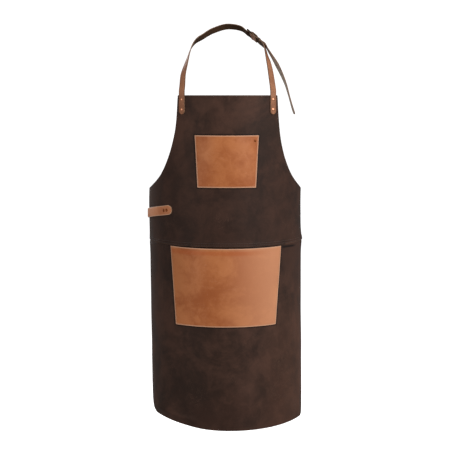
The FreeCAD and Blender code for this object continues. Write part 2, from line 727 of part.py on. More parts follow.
def build():
    os.makedirs("parts", exist_ok=True)
    neck = Buckle(NECK_WIDTH, NECK_THICK, 1.5, 22.0, NECK_HEEL, NECK_ALONG, NECK_ACROSS)
    waist = Buckle(WAIST_WIDTH, WAIST_THICK, 1.8, 26.0, WAIST_HEEL, WAIST_ALONG, WAIST_ACROSS)
    outer = wrap_body(BODY_LEATHER)
    bib, skirt = panels(outer.cut(wrap_body(0)))
    leather = {
        "bib_panel": bib,
        "skirt_panel": skirt,
        "chest_pocket": pocket_solid(CHEST_POCKET, outer),
        "lap_pocket": pocket_solid(LAP_POCKET, outer),
        "neck_strap": neck_strap(neck),
        "neck_buckle_strap": neck_buckle_strap(neck),
        "waist_strap": waist_strap(waist),
        "waist_buckle_strap": waist_buckle_strap(waist),
    }
    rivets = {
        "left_shoulder_rivet": (shoulder_rivets(-1), ["bib_panel", "neck_strap"]),
        "right_shoulder_rivet": (shoulder_rivets(1), ["bib_panel", "neck_buckle_strap"]),
        "waist_tab_rivet": (tab_rivets(), ["bib_panel", "waist_strap"]),
        "neck_fold_rivet": (fold_rivet(neck), ["neck_buckle_strap"]),
        "waist_fold_rivet": (fold_rivet(waist), ["waist_buckle_strap"]),
        "chest_pocket_rivet": (chest_rivet(), ["bib_panel", "chest_pocket"]),
    }
    for name, ((caps, posts, holes), pierced) in rivets.items():
        save(f"{name}_cap", caps)
        save(f"{name}_post", posts)
        for node in pierced:
            leather[node] = cut_holes(leather[node], holes)
    for name, shape in leather.items():
        save(name, shape)
    for prefix, buckle in (("neck", neck), ("waist", waist)):
        save(f"{prefix}_buckle_frame", buckle.place(buckle_frame(buckle)))
        save(f"{prefix}_buckle_tongue", buckle.place(buckle_tongue(buckle)))
        save(f"{prefix}_keeper", buckle.place(keeper(buckle)))


build()
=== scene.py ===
import json
from math import cos, degrees, pi, radians, sin

import bpy
import numpy as np
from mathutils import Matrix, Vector, noise
from mathutils.bvhtree import BVHTree
from mathutils.kdtree import KDTree
from numpy.linalg import norm

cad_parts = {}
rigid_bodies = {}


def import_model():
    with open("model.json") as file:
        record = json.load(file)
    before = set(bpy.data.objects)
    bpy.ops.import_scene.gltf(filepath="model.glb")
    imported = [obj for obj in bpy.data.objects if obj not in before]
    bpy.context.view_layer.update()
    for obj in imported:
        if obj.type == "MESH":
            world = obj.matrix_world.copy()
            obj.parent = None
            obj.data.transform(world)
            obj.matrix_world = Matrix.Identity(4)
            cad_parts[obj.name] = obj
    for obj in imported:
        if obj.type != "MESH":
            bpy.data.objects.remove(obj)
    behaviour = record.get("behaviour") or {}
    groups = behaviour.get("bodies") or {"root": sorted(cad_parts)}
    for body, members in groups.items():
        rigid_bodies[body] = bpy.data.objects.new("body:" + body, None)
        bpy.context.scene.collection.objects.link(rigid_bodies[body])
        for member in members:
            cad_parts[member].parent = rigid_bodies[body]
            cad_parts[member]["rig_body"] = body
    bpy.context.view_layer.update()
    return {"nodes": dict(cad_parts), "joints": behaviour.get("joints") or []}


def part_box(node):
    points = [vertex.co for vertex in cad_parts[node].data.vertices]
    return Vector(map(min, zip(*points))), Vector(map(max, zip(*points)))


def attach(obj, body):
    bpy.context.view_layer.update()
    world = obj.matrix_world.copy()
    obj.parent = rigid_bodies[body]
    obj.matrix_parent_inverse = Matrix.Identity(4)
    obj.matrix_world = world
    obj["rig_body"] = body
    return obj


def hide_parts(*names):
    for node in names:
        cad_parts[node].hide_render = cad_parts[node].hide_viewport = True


# A leather bib work apron, dressed over its CAD model. Metres.
# +Z up, the front faces -Y, +X is the wearer's left, seen on the right.

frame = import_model()
NODES = frame["nodes"]
JOINTS = {joint["name"]: joint for joint in frame["joints"]}
APRON = NODES["bib_panel"]["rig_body"]

# --- Camera ---
EYE = (-0.0038, -3.245, -0.189)
TILT_DOWN = 6.2  # degrees
LENS = 94.46  # on the 36 mm sensor that Blender starts with

# --- Leather and its shapes, as in the CAD ---
GRAIN, FLESH, EDGE = 0, 1, 2  # material slots of every leather piece
PANEL_THICK = 0.002
POCKET_THICK = 0.002
POCKET_STAND = PANEL_THICK + 0.00002 + POCKET_THICK  # grain side of a sewn-down pocket
WRAP_AXIS_Y = -0.045
WRAP = [  # circles that the panels follow: (height, centre x, radius)
    (-0.124, 0.0000, 0.2000), (-0.280, 0.0000, 0.2000), (-0.470, -0.0070, 0.2028),
    (-0.560, -0.0060, 0.2028), (-0.620, -0.0048, 0.2024), (-0.740, -0.0040, 0.2022),
    (-0.870, -0.0022, 0.2025), (-1.000, -0.0012, 0.2026), (-1.100, -0.0008, 0.2038),
]
CHEST_GAPE = 0.009
LAP_GAPE = 0.013

# --- Grids and small shapes ---
CELL = 0.0038  # side of a panel's quads
POCKET_CELL = 0.0026
EDGE_ROWS = (0.0, 0.0007, 0.0018, 0.0032, 0.0048, 0.0056, 0.0064, 0.0074, 0.0092, 0.012)
RIM_BEVEL = 0.00045
STITCH_PITCH = 0.0044
STITCH_LENGTH = 0.0031
THREAD_RADIUS = 0.00042
POCKET_STITCH_IN = 0.0032
SEAM_ROWS = (0.0036, 0.0090)  # above the bib's lower edge
SEAM_END = 0.004

# --- Straps: points on the flesh side, as in the CAD ---
NECK_LEFT_ROUTE = [
    (-0.1146, -0.2072, -0.1640), (-0.1119, -0.1960, -0.1310), (-0.1062, -0.1800, -0.1076),
    (-0.0996, -0.1570, -0.0830), (-0.0926, -0.1300, -0.0605), (-0.0815, -0.1000, -0.0430),
    (-0.0650, -0.0650, -0.0305), (-0.0370, -0.0230, -0.0118), (0.0, 0.0, 0.0),
]
NECK_TWIST = [  # (share of the length, share of the turn) up the left side
    (0.0, 0.0), (0.09, 0.08), (0.13, 0.16), (0.175, 0.26), (0.228, 0.37), (0.29, 0.5),
    (0.42, 0.6), (0.58, 0.75), (1.0, 1.0),
]
NECK_RIGHT_ROUTE = [
    (0.0995, -0.1370, -0.0755), (0.1043, -0.1620, -0.0960), (0.1085, -0.1830, -0.1195),
    (0.1118, -0.1980, -0.1430), (0.1149, -0.2070, -0.1670),
]
NECK_UNTWIST = [  # (share of the length, share of the turn) down the right side
    (0.0, 0.0), (0.2, 0.2), (0.37, 0.52), (0.6, 0.74), (0.8, 0.93), (1.0, 1.0),
]
NECK_TAIL_ROUTE = [
    (0.1055, -0.1315, -0.0695), (0.1155, -0.1475, -0.0870), (0.1273, -0.1620, -0.1080),
    (0.1380, -0.1720, -0.1305), (0.1478, -0.1785, -0.1550), (0.1575, -0.1820, -0.1880),
    (0.1665, -0.1830, -0.2190), (0.1712, -0.1830, -0.2330),
]
NECK_TAIL_TURN = [  # (share of the length, direction across the tail)
    (0.4, Vector((-0.30, 0.82, -0.47))),
    (0.75, Vector((-0.03, 0.98, -0.20))),
    (1.0, Vector((-0.12, 0.97, -0.15))),
]
TAIL_TURNS_FROM = 0.2
NECK_TAIL_RISE = 0.0008  # off the buckle strap, just past the buckle's straight stretch
WAIST_LEFT_ROUTE = [
    (-0.2130, -0.0420, -0.5005), (-0.2050, -0.0140, -0.5020), (-0.1810, 0.0120, -0.5032),
    (-0.1420, 0.0255, -0.5038), (-0.0950, 0.0290, -0.5040), (-0.0550, 0.0298, -0.5040),
]
WAIST_TAIL_ROUTE = [
    (0.1010, 0.0382, -0.5045), (0.1260, 0.0360, -0.5065), (0.1470, 0.0325, -0.5095),
    (0.1580, 0.0300, -0.5115),
]
WAIST_RIGHT_ROUTE = [
    (0.1000, 0.0340, -0.5040), (0.1400, 0.0270, -0.5030), (0.1700, 0.0120, -0.5015),
    (0.1875, -0.0090, -0.4995),
]
SHOULDER_ANGLE = 34.85  # degrees round the wrap
SHOULDER_DROPS = (0.0485, 0.0395, 0.020, 0.0, -0.004, -0.010)
STRAP_LIFT = 0.00025
TAB_ANGLES = (45.0, 51.0, 57.0, 62.0, 67.0, 72.0, 77.0, 81.0, 85.0)
TAB_DROP = 0.295
TAB_FALL = 0.0005  # for each degree
SEWN_ANGLES = (95.0, 90.0, 85.0, 80.5, 76.5)
SEWN_DROP = 0.311
SEWN_INSIDE = -0.0038
SEWN_BOX_ANGLES = (77.8, 83.2)
SEWN_BOX_INSET = 0.004
STRETCH = (-0.038, 0.060)
STRETCH_HOLES = (-0.031, 0.019, 0.044)
FOLD_END = 0.026
FOLD_MEETS = 0.012
KEEPER_AT = 0.041
KEEPER_LENGTH = 0.009
KEEPER_WALL = 0.0016
HOLE_RADIUS = 0.002
TONGUE_SLOT_HALF = 0.0020
FOLD_SLOT_HALF = 0.0022
NECK_TIP = (0.0112, 0.005)  # length and width of a tail's narrowed end
WAIST_TIP = (0.0114, 0.008)
DOWN = Vector((0, 0, -1))


# --- Mesh helpers ---
def link(thing):
    bpy.context.scene.collection.objects.link(thing)


def new_piece(name, points, faces, materials, indices=None):
    """A smooth-shaded mesh object with its place in its vertices."""
    mesh = bpy.data.meshes.new(name)
    mesh.from_pydata([tuple(p) for p in points], [], faces)
    for material in materials:
        mesh.materials.append(material)
    mesh.polygons.foreach_set("use_smooth", [True] * len(mesh.polygons))
    if indices is not None:
        mesh.polygons.foreach_set("material_index", indices)
    mesh.update()
    piece = bpy.data.objects.new(name, mesh)
    link(piece)
    return piece


def ring_faces(rings, around, first=0):
    """Quads between rings of points that follow one another."""
    faces = []
    for start in range(first, first + (rings - 1) * around, around):
        for k in range(around):
            a, b = start + k, start + (k + 1) % around
            faces.append((a, a + around, b + around, b))
    return faces


def modify(piece, kind, **settings):
    modifier = piece.modifiers.new(kind.lower(), kind)
    for key, value in settings.items():
        setattr(modifier, key, value)


def mark_edges(piece, distances):
    """Gives each vertex its distance from the piece's edge, for the materials."""
    values = piece.data.attributes.new("edge_distance", "FLOAT", "POINT")
    values.data.foreach_set("value", distances.astype(np.float32).ravel())


def point_tree(points):
    tree = KDTree(len(points))
    for i, point in enumerate(points):
        tree.insert(point, i)
    tree.balance()
    return tree


def cad_tree(node):
    """The faces of a CAD node, for casting rays at them."""
    return BVHTree.FromObject(NODES[node], bpy.context.evaluated_depsgraph_get())


def apply_modifiers(piece):
    """Makes the piece's shape with its modifiers its own mesh."""
    bpy.context.view_layer.update()
    shown = piece.evaluated_get(bpy.context.evaluated_depsgraph_get())
    mesh = bpy.data.meshes.new_from_object(shown)
    piece.modifiers.clear()
    piece.data = mesh
    mesh.name = piece.name


def settle(piece, body, node):
    """Names the body of a piece and hides its CAD node, if it has one."""
    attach(piece, body)
    if node:
        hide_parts(node)
    return piece


def graded(length, cell):
    """Places from 0 to length a cell apart, with closer ones near both ends."""
    start = np.array(EDGE_ROWS)
    middle_length = length - 2 * start[-1]
    count = max(round(middle_length / cell), 1)
    middle = start[-1] + middle_length * np.arange(1, count) / count
    return np.concatenate([start, middle, length - start[::-1]])


def smoothstep(value, low, high):
    share = np.clip((value - low) / (high - low), 0, 1)
    return share * share * (3 - 2 * share)


def bell(value, middle, width):
    return np.exp(-(((value - middle) / width) ** 2))


# --- The wrap: the round shape that the panels hang in ---
def wrap_at(z):
    """Centre x and radius of the wrap at a height or an array of heights."""
    heights, centres, radii = (np.array(column) for column in zip(*WRAP))
    below = np.clip(np.searchsorted(-heights, -np.asarray(z), side="right") - 1, 0, len(WRAP) - 2)
    share = (heights[below] - z) / (heights[below] - heights[below + 1])
    eased = share * share * (3 - 2 * share)
    x = centres[below] + eased * (centres[below + 1] - centres[below])
    radius = radii[below] + eased * (radii[below + 1] - radii[below])
    return x, radius


def wrap_points(angle, z, offset):
    """Points on the wrap, at angles from the front towards +X in degrees."""
    x, radius = wrap_at(z)
    turn = np.radians(angle)
    reach = radius + offset
    along_x = x + reach * np.sin(turn)
    along_y = WRAP_AXIS_Y - reach * np.cos(turn)
    return np.stack(np.broadcast_arrays(along_x, along_y, z), axis=-1)


def wrap_point(angle, z, offset):
    return Vector(wrap_points(angle, np.float64(z), offset))


def tangent_at(angle):
    turn = radians(angle)
    return Vector((cos(turn), sin(turn), 0))


# --- Drape: how the leather leaves the plain round shape ---
HELD_NODES = (  # straps and rivets that hold the leather in its place
    "left_shoulder_rivet_cap",
    "right_shoulder_rivet_cap",
    "waist_tab_rivet_cap",
    "chest_pocket_rivet_cap",
    "neck_strap",
    "neck_buckle_strap",
    "waist_strap",
    "waist_buckle_strap",
)
FOLD_SIZES = (  # (height of the folds, how many a metre across and along, layer)
    (0.0026, 6.0, 2.6, 3.1),
    (0.0010, 15.0, 9.0, 7.7),
    (0.0003, 42.0, 36.0, 13.9),
)
HELD_WITHIN = 0.010
FREE_BEYOND = 0.065
SIDE_FLAT = (84.0, 66.0)  # the folds fade out between these angles, towards a side edge
SWELL = 0.0026  # how far the seam's thick end pushes the right side edge out
SWELL_REACH = 0.022
SWELL_ANGLES = (62.0, 84.0)
HELD = point_tree([v.co for node in HELD_NODES for v in NODES[node].data.vertices])
HEM_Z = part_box("skirt_panel")[0].z
SEAM_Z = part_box("bib_panel")[0].z
BIB_TOP_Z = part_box("bib_panel")[1].z


def side_fade(angle):
    return smoothstep(np.abs(angle), *SIDE_FLAT)


def drape(angle, z):
    """How far the leather stands out at angles and heights, from its folds and dents."""
    angle, z = np.broadcast_arrays(angle, z)
    arc = np.radians(angle) * wrap_at(z)[1]
    rise = np.zeros(z.shape)
    nominal = wrap_points(angle, z, PANEL_THICK)
    for at in np.ndindex(z.shape):
        height = sum(
            size * noise.noise(Vector((arc[at] * across, z[at] * along, layer)))
            for size, across, along, layer in FOLD_SIZES
        )
        away = HELD.find(Vector(nominal[at]))[2]
        free = min(max((away - HELD_WITHIN) / (FREE_BEYOND - HELD_WITHIN), 0), 1)
        rise[at] = height * free * free * (3 - 2 * free)
    swell = SWELL * bell(z, SEAM_Z, SWELL_REACH) * smoothstep(angle, *SWELL_ANGLES)
    return rise * side_fade(angle) + swell


# --- Materials ---
class Graph:
    """Short ways to build one material's nodes."""

    def __init__(self, name):
        self.material = bpy.data.materials.new(name)
        self.material.use_nodes = True
        tree = self.material.node_tree
        self.nodes = tree.nodes
        self.links = tree.links
        self.shader = self.nodes["Principled BSDF"]
        self.place = self.nodes.new("ShaderNodeTexCoord").outputs["Object"]

    def set(self, node, inputs):
        for key, value in inputs.items():
            if isinstance(value, bpy.types.NodeSocket):
                self.links.new(value, node.inputs[key])
            else:
                node.inputs[key].default_value = value

    def add(self, kind, inputs, **settings):
        node = self.nodes.new("ShaderNode" + kind)
        for key, value in settings.items():
            setattr(node, key, value)
        self.set(node, inputs)
        return node

    def noise(self, scale, detail=4.0, roughness=0.55, distortion=0.0, vector=None):
        inputs = {
            "Vector": vector or self.place,
            "Scale": scale,
            "Detail": detail,
            "Roughness": roughness,
            "Distortion": distortion,
        }
        return self.add("TexNoise", inputs).outputs["Fac"]

    def cells(self, scale):
        return self.add("TexVoronoi", {"Vector": self.place, "Scale": scale}).outputs["Distance"]

    def axes(self):
        return self.add("SeparateXYZ", {"Vector": self.place}).outputs

    def stretched(self, sizes):
        inputs = {"Vector": self.place, "Scale": sizes}
        return self.add("Mapping", inputs).outputs["Vector"]

    def range(self, value, low, high, to_low=0.0, to_high=1.0):
        inputs = {"Value": value, "From Min": low, "From Max": high, "To Min": to_low, "To Max": to_high}
        return self.add("MapRange", inputs, interpolation_type="SMOOTHSTEP").outputs["Result"]

    def maths(self, operation, a, b):
        return self.add("Math", {0: a, 1: b}, operation=operation).outputs["Value"]

    def times(self, a, b):
        return self.maths("MULTIPLY", a, b)

    def minus(self, a, b):
        return self.maths("SUBTRACT", a, b)

    def apart(self, a, b):
        return self.maths("ABSOLUTE", self.minus(a, b), 0.0)

    def blend(self, a, b, share):
        """Two patterns together, the first with its share."""
        return self.maths("ADD", self.times(a, share), self.times(b, 1 - share))

    def mix(self, factor, a, b, blend="MIX"):
        node = self.add("Mix", {}, data_type="RGBA", blend_type=blend)
        self.set(node, {0: factor, 6: a, 7: b})
        return node.outputs[2]

    def edge_distance(self):
        node = self.add("Attribute", {}, attribute_name="edge_distance")
        return node.outputs["Fac"]

    def bump(self, height, strength, distance, below=None):
        inputs = {"Height": height, "Strength": strength, "Distance": distance}
        if below is not None:
            inputs["Normal"] = below
        return self.add("Bump", inputs).outputs["Normal"]

    def finish(self, colour, rough, normal, more):
        """Fills in the shader's inputs and returns the material."""
        self.set(self.shader, {"Base Color": colour, "Roughness": rough, "Normal": normal, **more})
        return self.material


def rgb(red, green, blue):
    """A colour for a shader, from the 0 to 255 values that a screen shows."""
    linear = [((c / 255 + 0.055) / 1.055) ** 2.4 for c in (red, green, blue)]
    return (*linear, 1.0)


def grain_bump(graph, cell_scale, depth):
    """The pores and fine wrinkles of a leather's grain side."""
    pores = graph.cells(cell_scale)
    wrinkles = graph.noise(cell_scale * 0.23, detail=6.0, roughness=0.62, distortion=0.5)
    fine = graph.bump(pores, 0.35, depth)
    return graph.bump(wrinkles, 0.5, depth * 2.2, fine)


def pocket_halves(node):
    """Half the width of a CAD pocket along its mouth and along its foot."""
    low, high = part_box(node)
    foot = [v.co.x for v in NODES[node].data.vertices if v.co.z < low.z + 0.0005]
    return (high.x - low.x) / 2, (max(foot) - min(foot)) / 2


def painted_pocket_shadow(g, node):
    """How dark the panel is painted round a pocket: a painted shadow, darkest at the pocket's outline and
    gone about 5 mm out.
    """
    low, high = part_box(node)
    half_top, half_foot = pocket_halves(node)
    place = g.axes()
    across = g.apart(place["X"], (low.x + high.x) / 2)
    rise = g.minus(place["Z"], low.z)
    slope = (half_top - half_foot) / (high.z - low.z)
    half = g.maths("ADD", g.times(rise, slope), half_foot)
    aside = g.minus(across, half)
    below = g.times(rise, -1.0)
    above = g.minus(place["Z"], high.z)
    outside = g.maths("MAXIMUM", g.maths("MAXIMUM", aside, below), above)
    return g.range(outside, 0.0052, 0.0008, 0.0, 0.72)


def waxed_leather(name):
    """Dark oiled leather with pull-up patches, pale scuffs and a worn edge, with painted shade through
    the waist, painted light low on the right, a painted shadow line under the seam at the right and
    painted shadows round the pockets.
    """
    g = Graph(name)
    clouds = g.noise(7.5, detail=5.0, roughness=0.6, distortion=0.7)
    patches = g.noise(26.0, detail=6.0, roughness=0.64, distortion=0.4)
    tone = g.blend(clouds, patches, 0.62)
    depth = g.range(tone, 0.36, 0.64)
    colour = g.mix(depth, rgb(45, 30, 23), rgb(76, 52, 42))
    warm = g.range(g.noise(4.3, detail=3.0), 0.45, 0.72)
    colour = g.mix(g.times(warm, 0.35), colour, rgb(72, 45, 35))
    place = g.axes()
    # Painted shade: darker in a band through the waist, strongest between heights of -0.42 and -0.6 m.
    painted_waist_shade = g.times(g.range(place["Z"], -0.3, -0.42), g.range(place["Z"], -0.72, -0.6))
    colour = g.mix(g.times(painted_waist_shade, 0.3), colour, rgb(28, 16, 12))
    # Painted light: paler low on the right of the skirt.
    painted_low_light = g.times(g.range(place["X"], 0.06, 0.16), g.range(place["Z"], -0.66, -0.78))
    colour = g.mix(g.times(painted_low_light, 0.13), colour, rgb(112, 76, 58))
    # Painted shadow: a dark line just under the bib's lower edge at the right, where the lapped edge
    # shades the skirt.
    lean = g.times(g.minus(place["X"], 0.148), -0.06)
    off_shadow_line = g.apart(g.minus(place["Z"], SEAM_Z - 0.0068), lean)
    thin_line = g.range(off_shadow_line, 0.0042, 0.0012)
    shadow_span = g.times(g.range(place["X"], 0.138, 0.146), g.range(place["X"], 0.184, 0.17))
    colour = g.mix(g.times(g.times(thin_line, shadow_span), 0.9), colour, rgb(18, 10, 8))
    scuff_lines = g.noise(21.0, detail=9.0, roughness=0.68, distortion=1.8)
    ridge = g.apart(scuff_lines, 0.5)
    scuffs = g.range(ridge, 0.006, 0.0, 0.0, 1.0)
    where = g.range(g.noise(9.0, detail=2.0), 0.54, 0.7)
    scuffs = g.times(scuffs, g.times(where, 0.35))
    colour = g.mix(scuffs, colour, rgb(122, 94, 78))
    # Painted shadow round each pocket.
    for node in ("chest_pocket", "lap_pocket"):
        colour = g.mix(painted_pocket_shadow(g, node), colour, rgb(24, 14, 10))
    worn = g.range(g.edge_distance(), 0.0022, 0.0004)
    worn = g.times(worn, g.range(patches, 0.35, 0.65, 0.15, 0.6))
    colour = g.mix(worn, colour, rgb(112, 84, 68))
    rough = g.range(tone, 0.36, 0.66, 0.56, 0.7)
    normal = grain_bump(g, 760.0, 0.00022)
    return g.finish(colour, rough, normal, {"Specular IOR Level": 0.14})


def tan_leather(name, deep, light, marks, rim, rim_reach):
    """Vegetable-tanned leather with uneven tone, growth marks and a darker creased edge, with painted
    light that makes it paler towards the right, low down.
    """
    g = Graph(name)
    clouds = g.noise(11.0, detail=4.0, roughness=0.55, distortion=0.5)
    mottle = g.noise(48.0, detail=6.0, roughness=0.66, distortion=0.9)
    tone = g.blend(clouds, mottle, 0.68)
    colour = g.mix(g.range(tone, 0.37, 0.63), deep, light)
    fibres = g.noise(1.0, detail=5.0, roughness=0.7, vector=g.stretched((300.0, 300.0, 70.0)))
    colour = g.mix(g.range(fibres, 0.56, 0.8, 0.0, 0.3), colour, marks)
    place = g.axes()
    # Painted light: paler towards the right below the waist, over the lap pocket's right side.
    painted_light = g.times(g.range(place["X"], -0.05, 0.13), g.range(place["Z"], -0.5, -0.58))
    colour = g.mix(g.times(painted_light, 0.6), colour, rgb(212, 150, 112))
    below = g.minus(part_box("lap_pocket")[1].z, place["Z"])
    stripe = g.times(g.range(below, 0.006, 0.009), g.range(below, 0.021, 0.014))
    stripe = g.times(stripe, g.range(place["X"], 0.12, 0.02))
    colour = g.mix(g.times(stripe, 0.5), colour, rgb(172, 84, 38))
    growth = g.noise(1.0, detail=3.0, distortion=2.2, vector=g.stretched((9.0, 9.0, 26.0)))
    lines = g.range(g.apart(growth, 0.5), 0.012, 0.0)
    colour = g.mix(g.times(lines, 0.16), colour, marks)
    worn = g.range(g.edge_distance(), rim_reach, rim_reach * 0.25, 0.0, 0.7)
    colour = g.mix(worn, colour, rim)
    rough = g.range(tone, 0.36, 0.66, 0.5, 0.4)
    normal = grain_bump(g, 980.0, 0.00013)
    sheen = {"Specular IOR Level": 0.2, "Coat Weight": 0.015, "Coat Roughness": 0.42}
    return g.finish(colour, rough, normal, sheen)


def flesh_side(name, dark, light, painted_light=None):
    """The suede-like inner side of a leather, with painted light that makes it paler on both sides high
    up, where the neck strap's flesh side lies in shade.
    """
    g = Graph(name)
    nap = g.noise(520.0, detail=5.0, roughness=0.75)
    drift = g.noise(19.0, detail=4.0, roughness=0.6, distortion=0.4)
    tone = g.blend(nap, drift, 0.45)
    colour = g.mix(g.range(tone, 0.38, 0.62), dark, light)
    if painted_light:
        # Painted light: paler beyond about x = ±0.1 m and above z = -0.36 m, where the neck strap's flesh
        # side lies in shade.
        place = g.axes()
        ends = g.maths("ADD", g.range(place["X"], 0.085, 0.115), g.range(place["X"], -0.085, -0.105))
        ends = g.times(ends, g.range(place["Z"], -0.42, -0.36))
        colour = g.mix(g.times(ends, 0.8), colour, painted_light)
    normal = g.bump(nap, 0.6, 0.0004)
    return g.finish(colour, 0.92, normal, {"Specular IOR Level": 0.12})


def cut_edge(name, dark, light):
    """A cut edge, worn by rubbing, with the layers of fibre showing along it."""
    g = Graph(name)
    fibres = g.noise(640.0, detail=5.0, roughness=0.7)
    drift = g.noise(60.0, detail=3.0)
    tone = g.blend(fibres, drift, 0.6)
    colour = g.mix(g.range(tone, 0.36, 0.64), dark, light)
    normal = g.bump(fibres, 0.5, 0.0002)
    return g.finish(colour, 0.62, normal, {})


def worn_metal(name, bright, tarnish, share, roughness):
    """Rubbed metal: tarnish lies in patches, and handling has polished the rest."""
    g = Graph(name)
    patches = g.noise(330.0, detail=6.0, roughness=0.65)
    specks = g.noise(1500.0, detail=3.0)
    mask = g.range(patches, share - 0.12, share + 0.12)
    colour = g.mix(mask, bright, tarnish)
    rough = g.range(patches, share - 0.15, share + 0.15, roughness, roughness + 0.22)
    scratches = g.noise(1.0, detail=4.0, vector=g.stretched((1800.0, 260.0, 1800.0)))
    normal = g.bump(scratches, 0.25, 0.00006, g.bump(specks, 0.2, 0.00008))
    return g.finish(colour, rough, normal, {"Metallic": 1.0})


def waxed_thread(name, dark, light):
    """Twisted waxed thread."""
    g = Graph(name)
    twist = g.noise(1700.0, detail=3.0)
    colour = g.mix(g.range(twist, 0.35, 0.65), dark, light)
    return g.finish(colour, 0.5, g.bump(twist, 0.5, 0.0002), {})


def studio_white(name, glow):
    """A pale, even surface; the glow keeps the shadows on it light."""
    g = Graph(name)
    tint = g.mix(g.range(g.noise(1.2, detail=2.0), 0.3, 0.7), rgb(243, 243, 243), rgb(247, 247, 247))
    g.set(g.shader, {"Base Color": tint, "Roughness": 0.85})
    g.set(g.shader, {"Emission Color": (1.0, 1.0, 1.0, 1.0), "Emission Strength": glow})
    return g.material


APRON_LEATHER = [
    waxed_leather("apron_grain"),
    flesh_side("apron_flesh", rgb(60, 44, 34), rgb(88, 66, 50)),
    cut_edge("apron_edge", rgb(48, 35, 28), rgb(92, 70, 56)),
]
POCKET_LEATHER = [
    tan_leather(
        "pocket_grain", rgb(158, 86, 44), rgb(182, 111, 65), rgb(196, 136, 98), rgb(206, 160, 130), 0.0042
    ),
    flesh_side("pocket_flesh", rgb(150, 110, 80), rgb(178, 136, 102)),
    cut_edge("pocket_edge", rgb(150, 104, 76), rgb(196, 152, 122)),
]
STRAP_LEATHER = [
    tan_leather(
        "strap_grain", rgb(134, 86, 60), rgb(160, 109, 79), rgb(180, 130, 100), rgb(92, 60, 40), 0.0022
    ),
    # Its last colour is the painted light on the strap's flesh side, where it lies in shade.
    flesh_side("strap_flesh", rgb(50, 34, 22), rgb(72, 50, 33), rgb(196, 180, 166)),
    cut_edge("strap_edge", rgb(92, 66, 46), rgb(140, 106, 80)),
]
TAB_LEATHER = [
    tan_leather(
        "tab_grain", rgb(184, 114, 74), rgb(212, 142, 100), rgb(214, 162, 128), rgb(216, 176, 146), 0.003
    ),
    *STRAP_LEATHER[1:],
]
COPPER = worn_metal("rivet_copper", rgb(226, 158, 122), rgb(120, 66, 44), 0.66, 0.22)
# Painted shade: a darker, duller copy of the copper, for the rivets of the waist tab and the chest
# pocket.
SHADED_COPPER = worn_metal("rivet_shaded_copper", rgb(168, 94, 48), rgb(96, 52, 28), 0.5, 0.42)
ANTIQUE_BRASS = worn_metal("buckle_antique_brass", rgb(150, 118, 74), rgb(54, 42, 32), 0.42, 0.34)
DARK_THREAD = waxed_thread("thread_dark", rgb(44, 32, 26), rgb(66, 50, 42))
TAN_THREAD = waxed_thread("thread_tan", rgb(150, 96, 64), rgb(186, 130, 94))


# --- Sheets of leather ---
class Sheet:
    """A sheet of leather, from a grid of points on its grain side."""

    def __init__(self, name, grain, thickness, materials):
        self.grain = grain
        self.piece = self.make(name, thickness, materials)

    def make(self, name, thickness, materials):
        rows, columns = self.grain.shape[:2]
        corner = np.arange(rows * columns).reshape(rows, columns)
        quads = np.stack(
            [corner[:-1, :-1], corner[1:, :-1], corner[1:, 1:], corner[:-1, 1:]], axis=-1
        ).reshape(-1, 4)
        piece = new_piece(name, self.grain.reshape(-1, 3), quads.tolist(), materials)
        mark_edges(piece, self.edge_distances())
        finishes = {"material_offset": FLESH, "material_offset_rim": EDGE}
        modify(piece, "SOLIDIFY", thickness=thickness, offset=-1.0, use_even_offset=True, **finishes)
        modify(piece, "BEVEL", width=RIM_BEVEL, segments=2, limit_method="ANGLE", angle_limit=radians(60))
        apply_modifiers(piece)
        return piece

    def edge_distances(self):
        """How far each point of the grid is from the nearest edge."""
        g = self.grain
        rim = np.concatenate([g[0], g[-1], g[:, 0], g[:, -1]])
        tree = point_tree([Vector(p) for p in rim])
        return np.array([tree.find(Vector(p))[2] for p in g.reshape(-1, 3)], np.float32)

    def area(self):
        g = self.grain
        a = g[1:, 1:] - g[:-1, :-1]
        b = g[1:, :-1] - g[:-1, 1:]
        return float(norm(np.cross(a, b), axis=-1).sum() / 2)

    def at(self, row, column):
        """The point and the outward direction at a place between the grid's rows and columns."""
        r = int(min(max(row, 0), self.grain.shape[0] - 1.001))
        c = int(min(max(column, 0), self.grain.shape[1] - 1.001))
        v, u = row - r, column - c
        a, b, c_low, d = (self.grain[r + i, c + j] for i, j in ((0, 0), (0, 1), (1, 0), (1, 1)))
        point = (a * (1 - u) + b * u) * (1 - v) + (c_low * (1 - u) + d * u) * v
        outward = np.cross(c_low - a, b - a)
        return point, outward / norm(outward)


HALVINGS = 16
CORNERS_END = 0.13  # above the lowest point: the CAD panel's rounded corners end below this
JUST_BELOW = 0.002
WIDEST_ANGLE = 89.0


def halved(inside, outside, holds):
    """The furthest value from inside that holds, found by halving."""
    for _ in range(HALVINGS):
        middle = (inside + outside) / 2
        inside, outside = (middle, outside) if holds(middle) else (inside, middle)
    return inside


